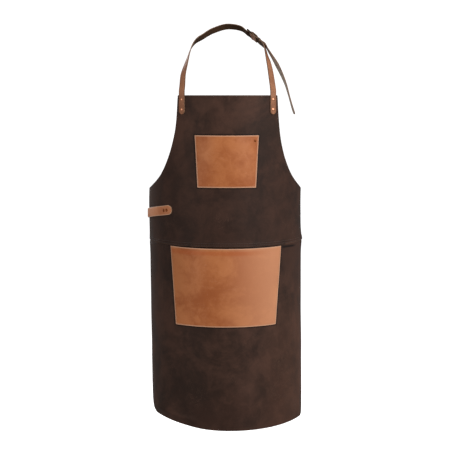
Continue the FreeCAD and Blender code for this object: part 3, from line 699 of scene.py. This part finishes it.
class Panel(Sheet):
    """A body panel: columns from its top edge down to the lower edge of the CAD panel."""

    def __init__(self, name, node, top, corners, shape):
        """Corners are the angles where the lower edge turns into the side edges, if it curves."""
        low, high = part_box(node)
        tree = cad_tree(node)
        down = graded(top - low.z, CELL) / (top - low.z)
        feet = [self.lower_edge(tree, angle, low.z) for angle in corners] if corners else [low.z, low.z]
        ends = []
        for share in down:
            heights = (top + share * (foot - top) for foot in feet)
            inside = (min(max(z, foot + 0.0001), high.z - 0.0001) for z, foot in zip(heights, feet))
            ends.append([self.side_angle(tree, z, side) for z, side in zip(inside, (-1, 1))])
        ends = np.array(ends)
        widest = radians(ends[:, 1].max() - ends[:, 0].min()) * WRAP[-1][2]
        self.across = graded(widest, CELL) / widest
        self.heights = top + down * (low.z - top)
        self.width = widest
        angles = ends[:, :1] + (ends[:, 1:] - ends[:, :1]) * self.across
        lower = np.full(len(self.across), low.z)
        if corners:
            lower_angles = corners[0] + (corners[1] - corners[0]) * self.across
            lower = np.array([self.lower_edge(tree, angle, low.z) for angle in lower_angles])
        z = top + down[:, None] * (lower - top)
        offset = PANEL_THICK + drape(angles, z) + shape(angles, z, z - lower)
        super().__init__(name, wrap_points(angles, z, offset), PANEL_THICK, APRON_LEATHER)

    def is_there(self, tree, angle, z):
        """Whether the CAD panel is met from the wrap's axis, at an angle and a height."""
        turn = radians(angle)
        axis = Vector((float(wrap_at(z)[0]), WRAP_AXIS_Y, z))
        return tree.ray_cast(axis, Vector((sin(turn), -cos(turn), 0)))[0]

    def lower_edge(self, tree, angle, low_z):
        """The height of the CAD panel's lower edge at an angle."""
        start, end = low_z + CORNERS_END, low_z - JUST_BELOW
        return halved(start, end, lambda z: self.is_there(tree, angle, z))

    def side_angle(self, tree, z, side):
        """The angle of the CAD panel's side edge at a height."""
        return side * halved(0.0, WIDEST_ANGLE, lambda angle: self.is_there(tree, side * angle, z))


LAP_RISE = 0.0016  # the bib's lower edge lies over the skirt's upper edge
TUCK = 0.00088
TUCK_UP = 0.010
SEAM_GROOVE = 0.0009
CREASE_FROM_TOP = 0.0064
CREASE_DEPTH = 0.0005
LAP_LEFT = (-58.0, -76.0)  # angles between which the lap stops showing as a rise
HEM_CORNERS = (-76.9, 81.6)  # angles halfway round the skirt's two rounded corners
RIDGE = 0.0022  # of the soft ridge above the hem, at the left
HEM_TURN = 0.0035
FLARE = 0.003


def lap_share(angle):
    """How much of the lap shows as a rise: less round the left side, where the skirt goes in."""
    return 1 - 0.8 * smoothstep(angle, *LAP_LEFT)


def bib_shape(angle, z, above_edge):
    """The pressed line under the top edge, and the rise where the bib laps over the skirt."""
    thin_line = -CREASE_DEPTH * bell(BIB_TOP_Z - z, CREASE_FROM_TOP, 0.0009)
    rolled = -0.0006 * smoothstep(z, BIB_TOP_Z - 0.004, BIB_TOP_Z)
    lap = LAP_RISE * lap_share(angle) * smoothstep(above_edge, 0.016, 0.001)
    return thin_line + rolled + lap


def skirt_shape(angle, z, above_edge):
    """The edge tucked behind the bib, the soft ridge above the hem at the left, the hem's turn."""
    tuck_depth = TUCK + LAP_RISE * (1 - lap_share(angle))
    tuck = -tuck_depth * smoothstep(z, SEAM_Z - 0.0045, SEAM_Z - 0.0005)
    groove = -SEAM_GROOVE * bell(z, SEAM_Z - 0.0012, 0.0024)
    ridge_span = smoothstep(angle, -74.0, -56.0) * smoothstep(angle, -16.0, -34.0)
    ridge = RIDGE * bell(above_edge, 0.020, 0.0055) * ridge_span
    turn_in = -HEM_TURN * smoothstep(above_edge, 0.018, 0.0) * ridge_span
    wave = np.sin(np.radians(angle * 4.2 + 35)) * side_fade(angle)
    flare = FLARE * smoothstep(above_edge, 0.16, 0.0) * wave
    return tuck + groove + ridge + turn_in + flare


# --- Pockets ---
STITCH_PULL = 0.00032
STITCH_PULL_REACH = 0.0011
MOUTH_LINE = 0.0052  # from the mouth to the line pressed along it
MOUTH_LINE_DEPTH = 0.00022
MOUTH_LINE_REACH = 0.0007
RIVET_SEAT_REACH = 0.016
BESIDE_RIVET = 0.005
A_HAIR = 0.0001


class Pocket(Sheet):
    """A patch pocket, sewn down on three sides, whose mouth stands off the panel."""

    def __init__(self, name, node, gape, rivet=None):
        low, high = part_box(node)
        self.top, self.bottom = high.z, low.z
        self.height = self.top - self.bottom
        self.centre = (low.x + high.x) / 2
        self.half_top, self.half_bottom = pocket_halves(node)
        self.gape = gape
        self.down = graded(self.height, POCKET_CELL)
        self.across = graded(2 * self.half_top, POCKET_CELL) / self.half_top - 1
        z = (self.top - self.down)[:, None] + 0 * self.across[None, :]
        x = self.centre + self.half_at(z) * self.across[None, :]
        grain = self.surface(x, z)
        if rivet:
            self.meet_rivet(grain, rivet)
        super().__init__(name, grain, POCKET_THICK, POCKET_LEATHER)

    def half_at(self, z):
        share = (z - self.bottom) / self.height
        return self.half_bottom + (self.half_top - self.half_bottom) * share

    def surface(self, x, z):
        """Points that bow out in the middle and more towards the mouth, then follow the drape."""
        centre_x, radius = wrap_at(z)
        reach = radius + POCKET_STAND
        half = self.half_at(z)
        share = (z - self.bottom) / self.height
        gape = self.gape * (0.12 + 1.84 * share - 0.96 * share**2)
        side_y = np.sqrt(reach**2 - half**2)
        bow = reach + gape - side_y
        bowed = (bow**2 + half**2) / (2 * bow)
        y = WRAP_AXIS_Y - reach - gape + bowed - np.sqrt(bowed**2 - (x - self.centre) ** 2)
        out = np.stack([x - centre_x, y - WRAP_AXIS_Y], axis=-1)
        distance = norm(out, axis=-1)
        angle = np.degrees(np.arctan2(out[..., 0], -out[..., 1]))
        grown = (distance + drape(angle, z) + self.pressing(x, z)) / distance
        return np.stack([centre_x + out[..., 0] * grown, WRAP_AXIS_Y + out[..., 1] * grown, z], axis=-1)

    def pressing(self, x, z):
        """The pull of the stitches along the sewn edges, and the pressed line at the mouth."""
        side = self.half_at(z) - np.abs(x - self.centre)
        foot = z - self.bottom
        mouth = self.top - z
        pulls = (bell(d, POCKET_STITCH_IN, STITCH_PULL_REACH) for d in (side, foot))
        line = MOUTH_LINE_DEPTH * bell(mouth, MOUTH_LINE, MOUTH_LINE_REACH)
        return -STITCH_PULL * np.maximum(*pulls) - line

    def meet_rivet(self, grain, rivet):
        """Brings the leather round a rivet to the CAD pocket's surface, where the cap sits."""
        low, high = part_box(rivet)
        middle = (low + high) / 2
        tree = cad_tree("chest_pocket")
        origin = Vector((middle.x - BESIDE_RIVET, low.y - 0.05, middle.z))
        seat = tree.ray_cast(origin, Vector((0, 1, 0)))[0]
        away = np.hypot(grain[..., 0] - middle.x, grain[..., 2] - middle.z)
        nearest = np.hypot(grain[..., 0] - origin.x, grain[..., 2] - origin.z)
        here = grain[np.unravel_index(nearest.argmin(), nearest.shape)]
        grain[..., 1] += (seat.y + A_HAIR - here[1]) * bell(away, 0, RIVET_SEAT_REACH)


# --- Stitches ---
def walk(samples):
    """Places a stitch apart, as (place, along, outward), on a line of (point, outward) samples."""
    points, outwards = (np.array(values) for values in zip(*samples))
    steps = norm(np.diff(points, axis=0), axis=1)
    length = np.concatenate([[0], np.cumsum(steps)])
    count = int(length[-1] // STITCH_PITCH)
    places = []
    for s in (np.arange(count) + 0.5) * length[-1] / count:
        here, before, after = (
            np.array([np.interp(t, length, points[:, k]) for k in range(3)])
            for t in (s, s - STITCH_PITCH / 3, s + STITCH_PITCH / 3)
        )
        outward = np.array([np.interp(s, length, outwards[:, k]) for k in range(3)])
        places.append((Vector(here), Vector(after - before).normalized(), Vector(outward).normalized()))
    return places


def stitch_form():
    """One stitch lying along local X: a bead of thread that dips into the leather at its ends."""
    rings, around = 6, 8
    points = []
    for i in range(rings + 1):
        share = i / rings
        x = (share - 0.5) * STITCH_LENGTH
        swell = sin(pi * (0.08 + 0.84 * share)) ** 0.5
        for k in range(around):
            turn = 2 * pi * k / around
            y = THREAD_RADIUS * swell * cos(turn)
            z = THREAD_RADIUS * (swell * sin(turn) + 1.2 * (swell - 0.75))
            points.append(Vector((x, y, z)))
    faces = [(a, d, c, b) for a, b, c, d in ring_faces(rings + 1, around)]
    faces.append(tuple(reversed(range(around))))
    faces.append(tuple(range(rings * around, (rings + 1) * around)))
    return points, faces


def stitch_row(name, places, thread):
    """Many stitches as one piece. Each leans a little, as sewn ones do."""
    form, form_faces = stitch_form()
    lean = radians(4)
    points, faces = [], []
    for place, along, outward in places:
        side = outward.cross(along).normalized()
        along = (along * cos(lean) + side * sin(lean)).normalized()
        side = outward.cross(along).normalized()
        first = len(points)
        points += [place + along * p.x + side * p.y + outward * p.z for p in form]
        faces += [tuple(first + i for i in face) for face in form_faces]
    piece = new_piece(name, points, faces, [thread])
    return settle(piece, APRON, None)


def pocket_stitches(pocket, name, thread):
    """One row down a side, along the foot and up the other side."""
    rows, columns = np.arange(len(pocket.down)), np.arange(len(pocket.across))
    depth = pocket.height - POCKET_STITCH_IN
    line = []
    for side in (-1, 1):
        down = np.linspace(0.003, depth, 60)
        z = pocket.top - down
        at = side * (1 - POCKET_STITCH_IN / pocket.half_at(z))
        run = zip(np.interp(down, pocket.down, rows), np.interp(at, pocket.across, columns))
        line.append(list(run))
    ends = [run[-1] for run in line]
    foot = [(ends[0][0], c) for c in np.linspace(ends[0][1], ends[1][1], 90)[1:-1]]
    route = line[0] + foot + line[1][::-1]
    return stitch_row(name, walk(pocket.at(row, column) for row, column in route), thread)


def seam_stitches(bib):
    """Two rows along the bib's lower edge, which hold the skirt behind it."""
    rows, columns = np.arange(len(bib.heights)), np.arange(len(bib.across))
    places = []
    for up in SEAM_ROWS:
        row = np.interp(-(SEAM_Z + up), -bib.heights, rows)
        inset = SEAM_END / bib.width
        across = [np.interp(a, bib.across, columns) for a in np.linspace(inset, 1 - inset, 260)]
        places += walk(bib.at(row, column) for column in across)
    return stitch_row("seam_stitches", places, DARK_THREAD)


# --- Straps ---
class Buckle:
    """Where a buckle is, from its joints, and the sizes that its straps follow."""

    def __init__(self, prefix, strap_width, strap_thick, wire, length):
        hinge = JOINTS[f"{prefix}_frame_hinge"]
        slide = JOINTS[f"{prefix}_keeper_slide"]
        self.prefix = prefix
        self.width = strap_width
        self.thick = strap_thick
        self.wire = wire
        self.length = length
        self.heel = Vector(hinge["pos_m"])
        self.along = Vector(slide["axis"]).normalized()
        self.across = Vector(hinge["axis"]).normalized()
        self.outward = self.along.cross(self.across)
        self.fold_in = wire + 0.00008
        self.fold_out = self.fold_in + strap_thick
        self.over = self.fold_out + 0.0003
        self.under = wire + 0.0004 + strap_thick
        self.lay = strap_thick + 0.00035

    def point(self, u, n=0.0, w=0.0):
        return self.heel + self.along * u + self.outward * n + self.across * w

    def cutter(self, outline, reach):
        return prism(outline, self.heel, self.along, self.across, self.outward, reach)


def turned(turns, share):
    """The direction across a strap at a share of its length, from (share, direction) pairs."""
    for (s0, a0), (s1, a1) in zip(turns, turns[1:]):
        if s0 <= share <= s1:
            return a0.lerp(a1, (share - s0) / (s1 - s0))
    return turns[-1][1]


def turning(points, turns):
    """Pairs of a point and the strap's across direction, which follows turns."""
    points = [Vector(p) for p in points]
    length = [0.0]
    for a, b in zip(points, points[1:]):
        length.append(length[-1] + (b - a).length)
    return [(p, turned(turns, s / length[-1])) for p, s in zip(points, length)]


def eased_corners(points, leg):
    """A line of points with each corner replaced by a short bend."""
    line = [points[0]]
    for before, corner, after in zip(points, points[1:], points[2:]):
        back, on = before - corner, after - corner
        start = corner + back.normalized() * min(leg, back.length * 0.45)
        end = corner + on.normalized() * min(leg, on.length * 0.45)
        for t in (0.0, 0.25, 0.5, 0.75, 1.0):
            line.append(start.lerp(corner, t).lerp(corner.lerp(end, t), t))
    return line + [points[-1]]


class Route:
    """The smooth line through (point, across) pairs, measured by its length."""

    STEP = 0.0005

    def __init__(self, pairs):
        points = np.array([p for p, _ in pairs])
        acrosses = np.array([a for _, a in pairs])
        gaps = norm(np.diff(points, axis=0), axis=1)
        slopes = np.diff(points, axis=0) / gaps[:, None]
        tangents = np.empty_like(points)
        tangents[0], tangents[-1] = slopes[0], slopes[-1]
        share = (gaps[:-1] / (gaps[:-1] + gaps[1:]))[:, None]
        tangents[1:-1] = slopes[:-1] * (1 - share) + slopes[1:] * share
        places, turns = [points[0]], [acrosses[0]]
        for i, gap in enumerate(gaps):
            count = max(int(gap / self.STEP), 1)
            t = (np.arange(1, count + 1) / count)[:, None]
            places.extend(
                points[i] * (2 * t**3 - 3 * t**2 + 1)
                + tangents[i] * gap * (t**3 - 2 * t**2 + t)
                + points[i + 1] * (3 * t**2 - 2 * t**3)
                + tangents[i + 1] * gap * (t**3 - t**2)
            )
            turns.extend(acrosses[i] * (1 - t) + acrosses[i + 1] * t)
        self.points, self.acrosses = np.array(places), np.array(turns)
        steps = norm(np.diff(self.points, axis=0), axis=1)
        self.lengths = np.concatenate([[0], np.cumsum(steps)])
        self.total = self.lengths[-1]

    def sample(self, values, s):
        return np.stack([np.interp(s, self.lengths, values[:, k]) for k in range(3)], axis=-1)

    def frames(self, s):
        """Places and unit directions (along, across, outward) at some lengths."""
        place = self.sample(self.points, s)
        reach = 0.0008
        along = self.sample(self.points, s + reach) - self.sample(self.points, s - reach)
        along /= norm(along, axis=-1, keepdims=True)
        across = self.sample(self.acrosses, s)
        across -= along * (across * along).sum(axis=-1, keepdims=True)
        across /= norm(across, axis=-1, keepdims=True)
        return place, along, across, np.cross(along, across)

    def nearest(self, point):
        return float(self.lengths[norm(self.points - np.array(point), axis=1).argmin()])


STRAP_STEP = 0.0021
STRAP_ROUND = 0.0006
STRAP_CREASE_IN = 0.0021
STRAP_CREASE = 0.00026
CREASE_HALF = 0.00045


def strap_profile(width, thick):
    """A strap's section as (across share, height, finish of the face that follows)."""
    half = width / 2
    r = STRAP_ROUND
    right = [
        (half - STRAP_CREASE_IN - CREASE_HALF, thick, GRAIN),
        (half - STRAP_CREASE_IN, thick - STRAP_CREASE, GRAIN),
        (half - STRAP_CREASE_IN + CREASE_HALF, thick - 0.00003, GRAIN),
        (half - r, thick - 0.00006, GRAIN),
        (half - r * 0.3, thick - r * 0.35, EDGE),
        (half, thick - r, EDGE),
        (half, r * 0.8, EDGE),
        (half - r * 0.3, r * 0.25, EDGE),
        (half - r, 0.0, FLESH),
        (half * 0.45, 0.0, FLESH),
    ]
    crown = ((-half * 0.45, 0.00005), (0.0, 0.00008), (half * 0.45, 0.00005))
    top = [(a, thick + rise, GRAIN) for a, rise in crown]
    finishes = [finish for _, _, finish in right]
    left = [(-a, n) for a, n, _ in reversed(right)]
    left_finishes = list(reversed(finishes[:-1])) + [GRAIN]
    section = top + right + [(0.0, 0.0, FLESH)]
    section += [(a, n, finish) for (a, n), finish in zip(left, left_finishes)]
    return [(a / half, n, finish) for a, n, finish in section]


def strap_piece(name, route, width, thick, materials, round_start=False, round_end=False, tip=None):
    """A strap along a route. An end can be round, or narrow to a tip of (length, width)."""
    near = width / 2 * (1 - np.cos(np.radians(np.linspace(9, 90, 9))))
    s = np.arange(0, route.total + STRAP_STEP / 2, STRAP_STEP)
    s = np.linspace(0, route.total, len(s))
    if round_start:
        s = np.concatenate([near, s[s > near[-1] + STRAP_STEP / 2]])
    if round_end:
        s = np.concatenate([s[s < route.total - near[-1] - STRAP_STEP / 2], route.total - near[::-1]])
    widths = np.full(len(s), width)
    for is_round, from_end in ((round_start, s), (round_end, route.total - s)):
        if is_round:
            inward = np.clip(1 - from_end / (width / 2), 0, 1)
            widths = widths * np.sqrt(1 - inward**2)
    if tip:
        inward = np.clip(1 - (route.total - s) / tip[0], 0, 1)
        widths = tip[1] + (widths - tip[1]) * np.sqrt(1 - inward**2)
    place, _, across, outward = route.frames(s)
    profile = strap_profile(width, thick)
    shares = np.array([a for a, _, _ in profile])
    heights = np.array([n for _, n, _ in profile])
    rings = (
        place[:, None]
        + across[:, None] * (shares[None, :] * widths[:, None] / 2)[..., None]
        + outward[:, None] * heights[None, :, None]
    )
    count, around = rings.shape[:2]
    faces = ring_faces(count, around)
    faces.append(tuple(range(around)))
    faces.append(tuple(reversed(range((count - 1) * around, count * around))))
    finishes = [finish for _, _, finish in profile] * (count - 1) + [EDGE, EDGE]
    piece = new_piece(name, rings.reshape(-1, 3), faces, materials, finishes)
    mark_edges(piece, (1 - np.abs(shares))[None, :] * widths[:, None] / 2)
    return piece


def prism(outline, place, along, across, outward, reach):
    """A cutting prism of an outline in (along, across), reaching both ways along outward."""
    ring = [place + along * u + across * w for u, w in outline]
    points = [p - outward * reach for p in ring] + [p + outward * reach for p in ring]
    n = len(ring)
    faces = [(i, (i + 1) % n, n + (i + 1) % n, n + i) for i in range(n)]
    return points, faces + [tuple(reversed(range(n))), tuple(range(n, 2 * n))]


def oblong(u0, u1, half):
    """The outline of a slot with round ends."""
    turns = [radians(a) for a in range(-90, 91, 18)]
    right = [(u1 - half + half * cos(t), half * sin(t)) for t in turns]
    left = [(u0 + half - half * cos(t), -half * sin(t)) for t in turns]
    return right + left


def cut_out(piece, prisms):
    """Cuts prisms through a strap, and shows the cut as a cut edge."""
    for number, (points, faces) in enumerate(prisms):
        tool = new_piece(f"tool_{number}", points, faces, list(piece.data.materials), [EDGE] * len(faces))
        modify(piece, "BOOLEAN", operation="DIFFERENCE", solver="EXACT", object=tool)
        apply_modifiers(piece)
        bpy.data.objects.remove(tool)
    piece.data.set_sharp_from_angle(angle=radians(50))


def route_holes(route, points):
    """Cutting prisms for round holes at points of a route."""
    tools = []
    circle = oblong(-HOLE_RADIUS, HOLE_RADIUS, HOLE_RADIUS)
    for point in points:
        here = route.frames(np.array([route.nearest(point)]))
        place, along, across, outward = (Vector(values[0]) for values in here)
        tools.append(prism(circle, place, along, across, outward, 0.006))
    return tools


def shoulder_line(side):
    """Pairs up a strap's flat end on the bib, from its round tip to above the bib's top."""
    offset = PANEL_THICK + STRAP_LIFT
    across = tangent_at(side * SHOULDER_ANGLE) * side
    drops = SHOULDER_DROPS
    return [(wrap_point(side * SHOULDER_ANGLE, BIB_TOP_Z - drop, offset), across) for drop in drops]


def threaded_stretch(b):
    """Pairs under the buckle's front rail, up through it and on over the fold."""
    rise_start = -b.length + b.wire + 0.0015
    corners = [
        b.point(STRETCH[0], -b.under),
        b.point(rise_start, -b.under),
        b.point(-0.001, b.over),
        b.point(FOLD_END - 0.001, b.over),
        b.point(FOLD_END + 0.003, b.lay),
        b.point(STRETCH[1], b.lay),
    ]
    return [(p, b.across) for p in eased_corners(corners, 0.0035)], rise_start


def folded_end(b):
    """Pairs from the end of the turned-back layer, round the heel bar and out to the stretch's end."""
    hair = 0.00004
    back = [b.point(FOLD_END, -hair), b.point(FOLD_END - 0.007, -hair), b.point(FOLD_MEETS, -hair)]
    turn = [radians(a) for a in range(-90, -271, -20)]
    loop = [b.point(b.fold_in * cos(t), b.fold_in * sin(t)) for t in turn]
    on = [b.point(FOLD_MEETS, hair), b.point(FOLD_END - 0.007, hair)]
    on += [b.point(FOLD_END + 0.006), b.point(STRETCH[1])]
    return [(p, b.across) for p in back + loop + on]


def threaded_strap(b, name, materials, start, tail, tail_turns, tip, hole_count, rise=0.0):
    """A long strap: its sewn or riveted start, the buckle's stretch, and its free tail."""
    stretch, rise_start = threaded_stretch(b)
    after = [b.point(STRETCH[1], b.lay), b.point(STRETCH[1] + 0.008, b.lay + rise)]
    after += [Vector(p) for p in tail]
    tail_pairs = turning(after, tail_turns)[1:]
    route = Route(start + stretch + tail_pairs)
    piece = strap_piece(name, route, b.width, b.thick, materials, round_start=True, tip=tip)
    slot = b.cutter(oblong(rise_start + 0.0065, 0.0, TONGUE_SLOT_HALF), 0.02)
    holes = [b.point(u, b.lay if u > 0 else -b.under) for u in STRETCH_HOLES] + list(tail[:hole_count])
    cut_out(piece, [slot] + route_holes(route, holes))
    return settle(piece, APRON, name)


def buckle_strap(b, name, end, round_end):
    """A short strap, folded round the buckle's heel bar and joined to the apron at its other end."""
    route = Route(folded_end(b) + end)
    piece = strap_piece(name, route, b.width, b.thick, STRAP_LEATHER, round_end=round_end)
    slot = b.cutter(oblong(-b.fold_out - 0.004, 0.0045, FOLD_SLOT_HALF), b.fold_out + 0.001)
    cut_out(piece, [slot])
    return settle(piece, APRON, name)


def neck_straps(b):
    left = shoulder_line(-1)
    rise = [left[-2][0], left[-1][0]] + list(NECK_LEFT_ROUTE)
    rise += [b.point(STRETCH[0] - 0.008, -b.under), b.point(STRETCH[0], -b.under)]
    twist = [(share, left[-1][1].lerp(b.across, part)) for share, part in NECK_TWIST]
    start = left[:-1] + turning(rise, twist)[1:-1]
    tail_turns = [(0.0, b.across), (TAIL_TURNS_FROM, b.across)] + NECK_TAIL_TURN
    long_strap = threaded_strap(
        b, "neck_strap", STRAP_LEATHER, start, NECK_TAIL_ROUTE, tail_turns, NECK_TIP, 4, NECK_TAIL_RISE
    )
    right = shoulder_line(1)[::-1]
    fall = [b.point(STRETCH[1]), b.point(STRETCH[1] + 0.008)] + list(NECK_RIGHT_ROUTE)
    fall += [right[0][0], right[1][0]]
    untwist = [(share, b.across.lerp(right[0][1], part)) for share, part in NECK_UNTWIST]
    end = turning(fall, untwist)[1:-1] + right[1:]
    return long_strap, buckle_strap(b, "neck_buckle_strap", end, round_end=True)


def waist_straps(b):
    lie = PANEL_THICK + STRAP_LIFT
    first_angle = TAB_ANGLES[0]
    half_turn = degrees(b.width / 2 / (WRAP[2][2] + lie))
    angles = (first_angle - half_turn,) + TAB_ANGLES
    drops = [TAB_DROP + TAB_FALL * (angle - first_angle) for angle in angles]
    start = [(wrap_point(-angle, BIB_TOP_Z - drop, lie), DOWN) for angle, drop in zip(angles, drops)]
    start += [(Vector(p), DOWN) for p in WAIST_LEFT_ROUTE]
    start += [(b.point(STRETCH[0] - 0.008, -b.under), DOWN)]
    long_strap = threaded_strap(
        b, "waist_strap", TAB_LEATHER, start, WAIST_TAIL_ROUTE, [(0.0, DOWN), (1.0, DOWN)], WAIST_TIP, 2
    )
    end = [(b.point(STRETCH[1] + 0.008), DOWN)]
    end += [(Vector(p), DOWN) for p in WAIST_RIGHT_ROUTE]
    end += [(wrap_point(a, BIB_TOP_Z - SEWN_DROP, SEWN_INSIDE), DOWN) for a in SEWN_ANGLES]
    return long_strap, buckle_strap(b, "waist_buckle_strap", end, round_end=False)


def keeper_loop(b):
    """A band of leather sewn into a loop round both straps."""
    half = b.width / 2 + 0.0005
    low, high = -0.00035, b.lay + b.thick + 0.00035
    corners = [(half, low), (half, high), (-half, high), (-half, low)]
    line = [b.point(KEEPER_AT, n, w) for w, n in corners]
    middle = (line[3] + line[0]) / 2
    loop = eased_corners([middle] + line + [middle], 0.0009)
    route = Route([(p, -b.along) for p in loop])
    name = f"{b.prefix}_keeper"
    piece = strap_piece(name, route, KEEPER_LENGTH, KEEPER_WALL, STRAP_LEATHER)
    body = f"{b.prefix}_keeper_loop"
    return settle(piece, body, name)


def sewn_end_stitches(b):
    """A box of stitches where the waist buckle strap is sewn behind the panel's edge."""
    z = BIB_TOP_Z - SEWN_DROP
    half = b.width / 2 - SEWN_BOX_INSET
    top, low = z + half, z - half
    first, last = SEWN_BOX_ANGLES
    corners = [(first, top), (last, top), (last, low), (first, low), (first, top)]
    points = []
    for (a0, z0), (a1, z1) in zip(corners, corners[1:]):
        points += [(a0 + (a1 - a0) * t, z0 + (z1 - z0) * t) for t in np.linspace(0, 1, 12)[:-1]]
    stand = PANEL_THICK + 0.00005
    places = [wrap_points(a, np.float64(h), stand) for a, h in points]
    outwards = [wrap_points(a, np.float64(h), stand + 1) - p for (a, h), p in zip(points, places)]
    return stitch_row("sewn_end_stitches", walk(zip(places, outwards)), DARK_THREAD)


# --- CAD pieces that stay: their finish ---
def finish_cad_nodes():
    for name, node in NODES.items():
        # The waist tab's and chest pocket's rivets get the copper's painted-shade copy.
        if name.startswith(("waist_tab_rivet", "chest_pocket_rivet")):
            material = SHADED_COPPER
        elif "_rivet_" in name:
            material = COPPER
        elif name.endswith(("_frame", "_tongue")):
            material = ANTIQUE_BRASS
        else:
            continue
        for slot in node.material_slots:
            slot.material = material


# --- Stage ---
FLOOR_Z = -1.5  # where the wearer stands
STAGE_RADIUS = 7.0
WALL_CURVE = 2.0
WALL_TOP = ((STAGE_RADIUS, 5.0), (STAGE_RADIUS * 0.8, 8.0), (STAGE_RADIUS * 0.4, 9.5))
STAGE_GLOW = 0.8
ROOM_LIGHT = 0.32
CHEST = (0.0, -0.2, -0.5)


def make_stage():
    """A pale round floor that curves up into a pale wall on all sides."""
    flat = [(r, 0.0) for r in (0.6, 1.5, 3.0, STAGE_RADIUS - WALL_CURVE)]
    curve = [
        (STAGE_RADIUS - WALL_CURVE + WALL_CURVE * sin(t), WALL_CURVE * (1 - cos(t)))
        for t in (radians(a) for a in range(10, 91, 10))
    ]
    profile = flat + curve + list(WALL_TOP)
    around = 64
    points = [(0.0, 0.0, FLOOR_Z)]
    for radius, height in profile:
        for k in range(around):
            turn = 2 * pi * k / around
            points.append((radius * cos(turn), radius * sin(turn), FLOOR_Z + height))
    faces = [(0, 1 + k, 1 + (k + 1) % around) for k in range(around)]
    faces += ring_faces(len(profile), around, first=1)
    stage = new_piece("studio", points, faces, [studio_white("studio_white", STAGE_GLOW)])
    stage.visible_diffuse = False
    stage.visible_glossy = False
    stage.visible_shadow = False


def area_light(name, place, aim, width, height, power):
    data = bpy.data.lights.new(name, "AREA")
    data.shape = "RECTANGLE"
    data.size = width
    data.size_y = height
    data.energy = power
    light = bpy.data.objects.new(name, data)
    light.location = place
    light.rotation_euler = (Vector(aim) - Vector(place)).to_track_quat("-Z", "Y").to_euler()
    link(light)


def make_lights():
    world = bpy.data.worlds.new("soft_room")
    world.use_nodes = True
    background = world.node_tree.nodes["Background"]
    background.inputs["Color"].default_value = (1.0, 1.0, 1.0, 1.0)
    background.inputs["Strength"].default_value = ROOM_LIGHT
    bpy.context.scene.world = world
    area_light("key", (1.75, -2.6, 0.5), (0.0, -0.2, -0.62), 1.6, 1.6, 60)
    area_light("side", (2.3, -0.6, -0.2), CHEST, 0.9, 2.2, 12)
    area_light("left", (-2.1, -2.0, -0.3), CHEST, 1.2, 1.8, 15)
    area_light("top", (0.3, -0.4, 1.9), (0.0, -0.1, -0.2), 1.5, 1.5, 12)
    area_light("back", (-1.2, 2.4, 0.6), CHEST, 2.0, 2.0, 30)


def make_camera():
    data = bpy.data.cameras.new("camera")
    data.lens = LENS
    data.clip_end = 60.0
    camera = bpy.data.objects.new("camera", data)
    camera.location = EYE
    camera.rotation_euler = (radians(90 - TILT_DOWN), 0, 0)
    link(camera)
    bpy.context.scene.camera = camera
    bpy.context.scene.view_settings.view_transform = "Standard"


# --- The apron ---
def declare_sheet(sheet, node, width, length):
    settle(sheet.piece, APRON, node)
    area = min(sheet.area(), width * length)


def build():
    make_camera()
    make_stage()
    make_lights()
    bib = Panel("bib", "bib_panel", BIB_TOP_Z, None, bib_shape)
    skirt = Panel("skirt", "skirt_panel", SEAM_Z + TUCK_UP, HEM_CORNERS, skirt_shape)
    chest = Pocket("chest_pocket_patch", "chest_pocket", CHEST_GAPE, rivet="chest_pocket_rivet_cap")
    lap = Pocket("lap_pocket_patch", "lap_pocket", LAP_GAPE)
    neck = Buckle("neck", strap_width=0.018, strap_thick=0.0025, wire=0.0015, length=0.022)
    waist = Buckle("waist", strap_width=0.025, strap_thick=0.003, wire=0.0018, length=0.026)
    neck_straps(neck)
    waist_straps(waist)
    keeper_loop(neck)
    keeper_loop(waist)
    seam = seam_stitches(bib)
    sewn_end = sewn_end_stitches(waist)
    chest_row = pocket_stitches(chest, "chest_pocket_stitches", TAN_THREAD)
    lap_row = pocket_stitches(lap, "lap_pocket_stitches", TAN_THREAD)
    finish_cad_nodes()
    bib_length = BIB_TOP_Z - SEAM_Z
    skirt_length = SEAM_Z + TUCK_UP - HEM_Z
    declare_sheet(bib, "bib_panel", bib.width, bib_length)
    declare_sheet(skirt, "skirt_panel", skirt.width, skirt_length)
    pockets = ((chest, "chest_pocket", "bib", chest_row), (lap, "lap_pocket", "skirt", lap_row))
    for sheet, node, on, row in pockets:
        wide = sheet.area() / sheet.height * sheet.half_top * 2 / (sheet.half_top + sheet.half_bottom)
        declare_sheet(sheet, node, wide, sheet.height)


build()
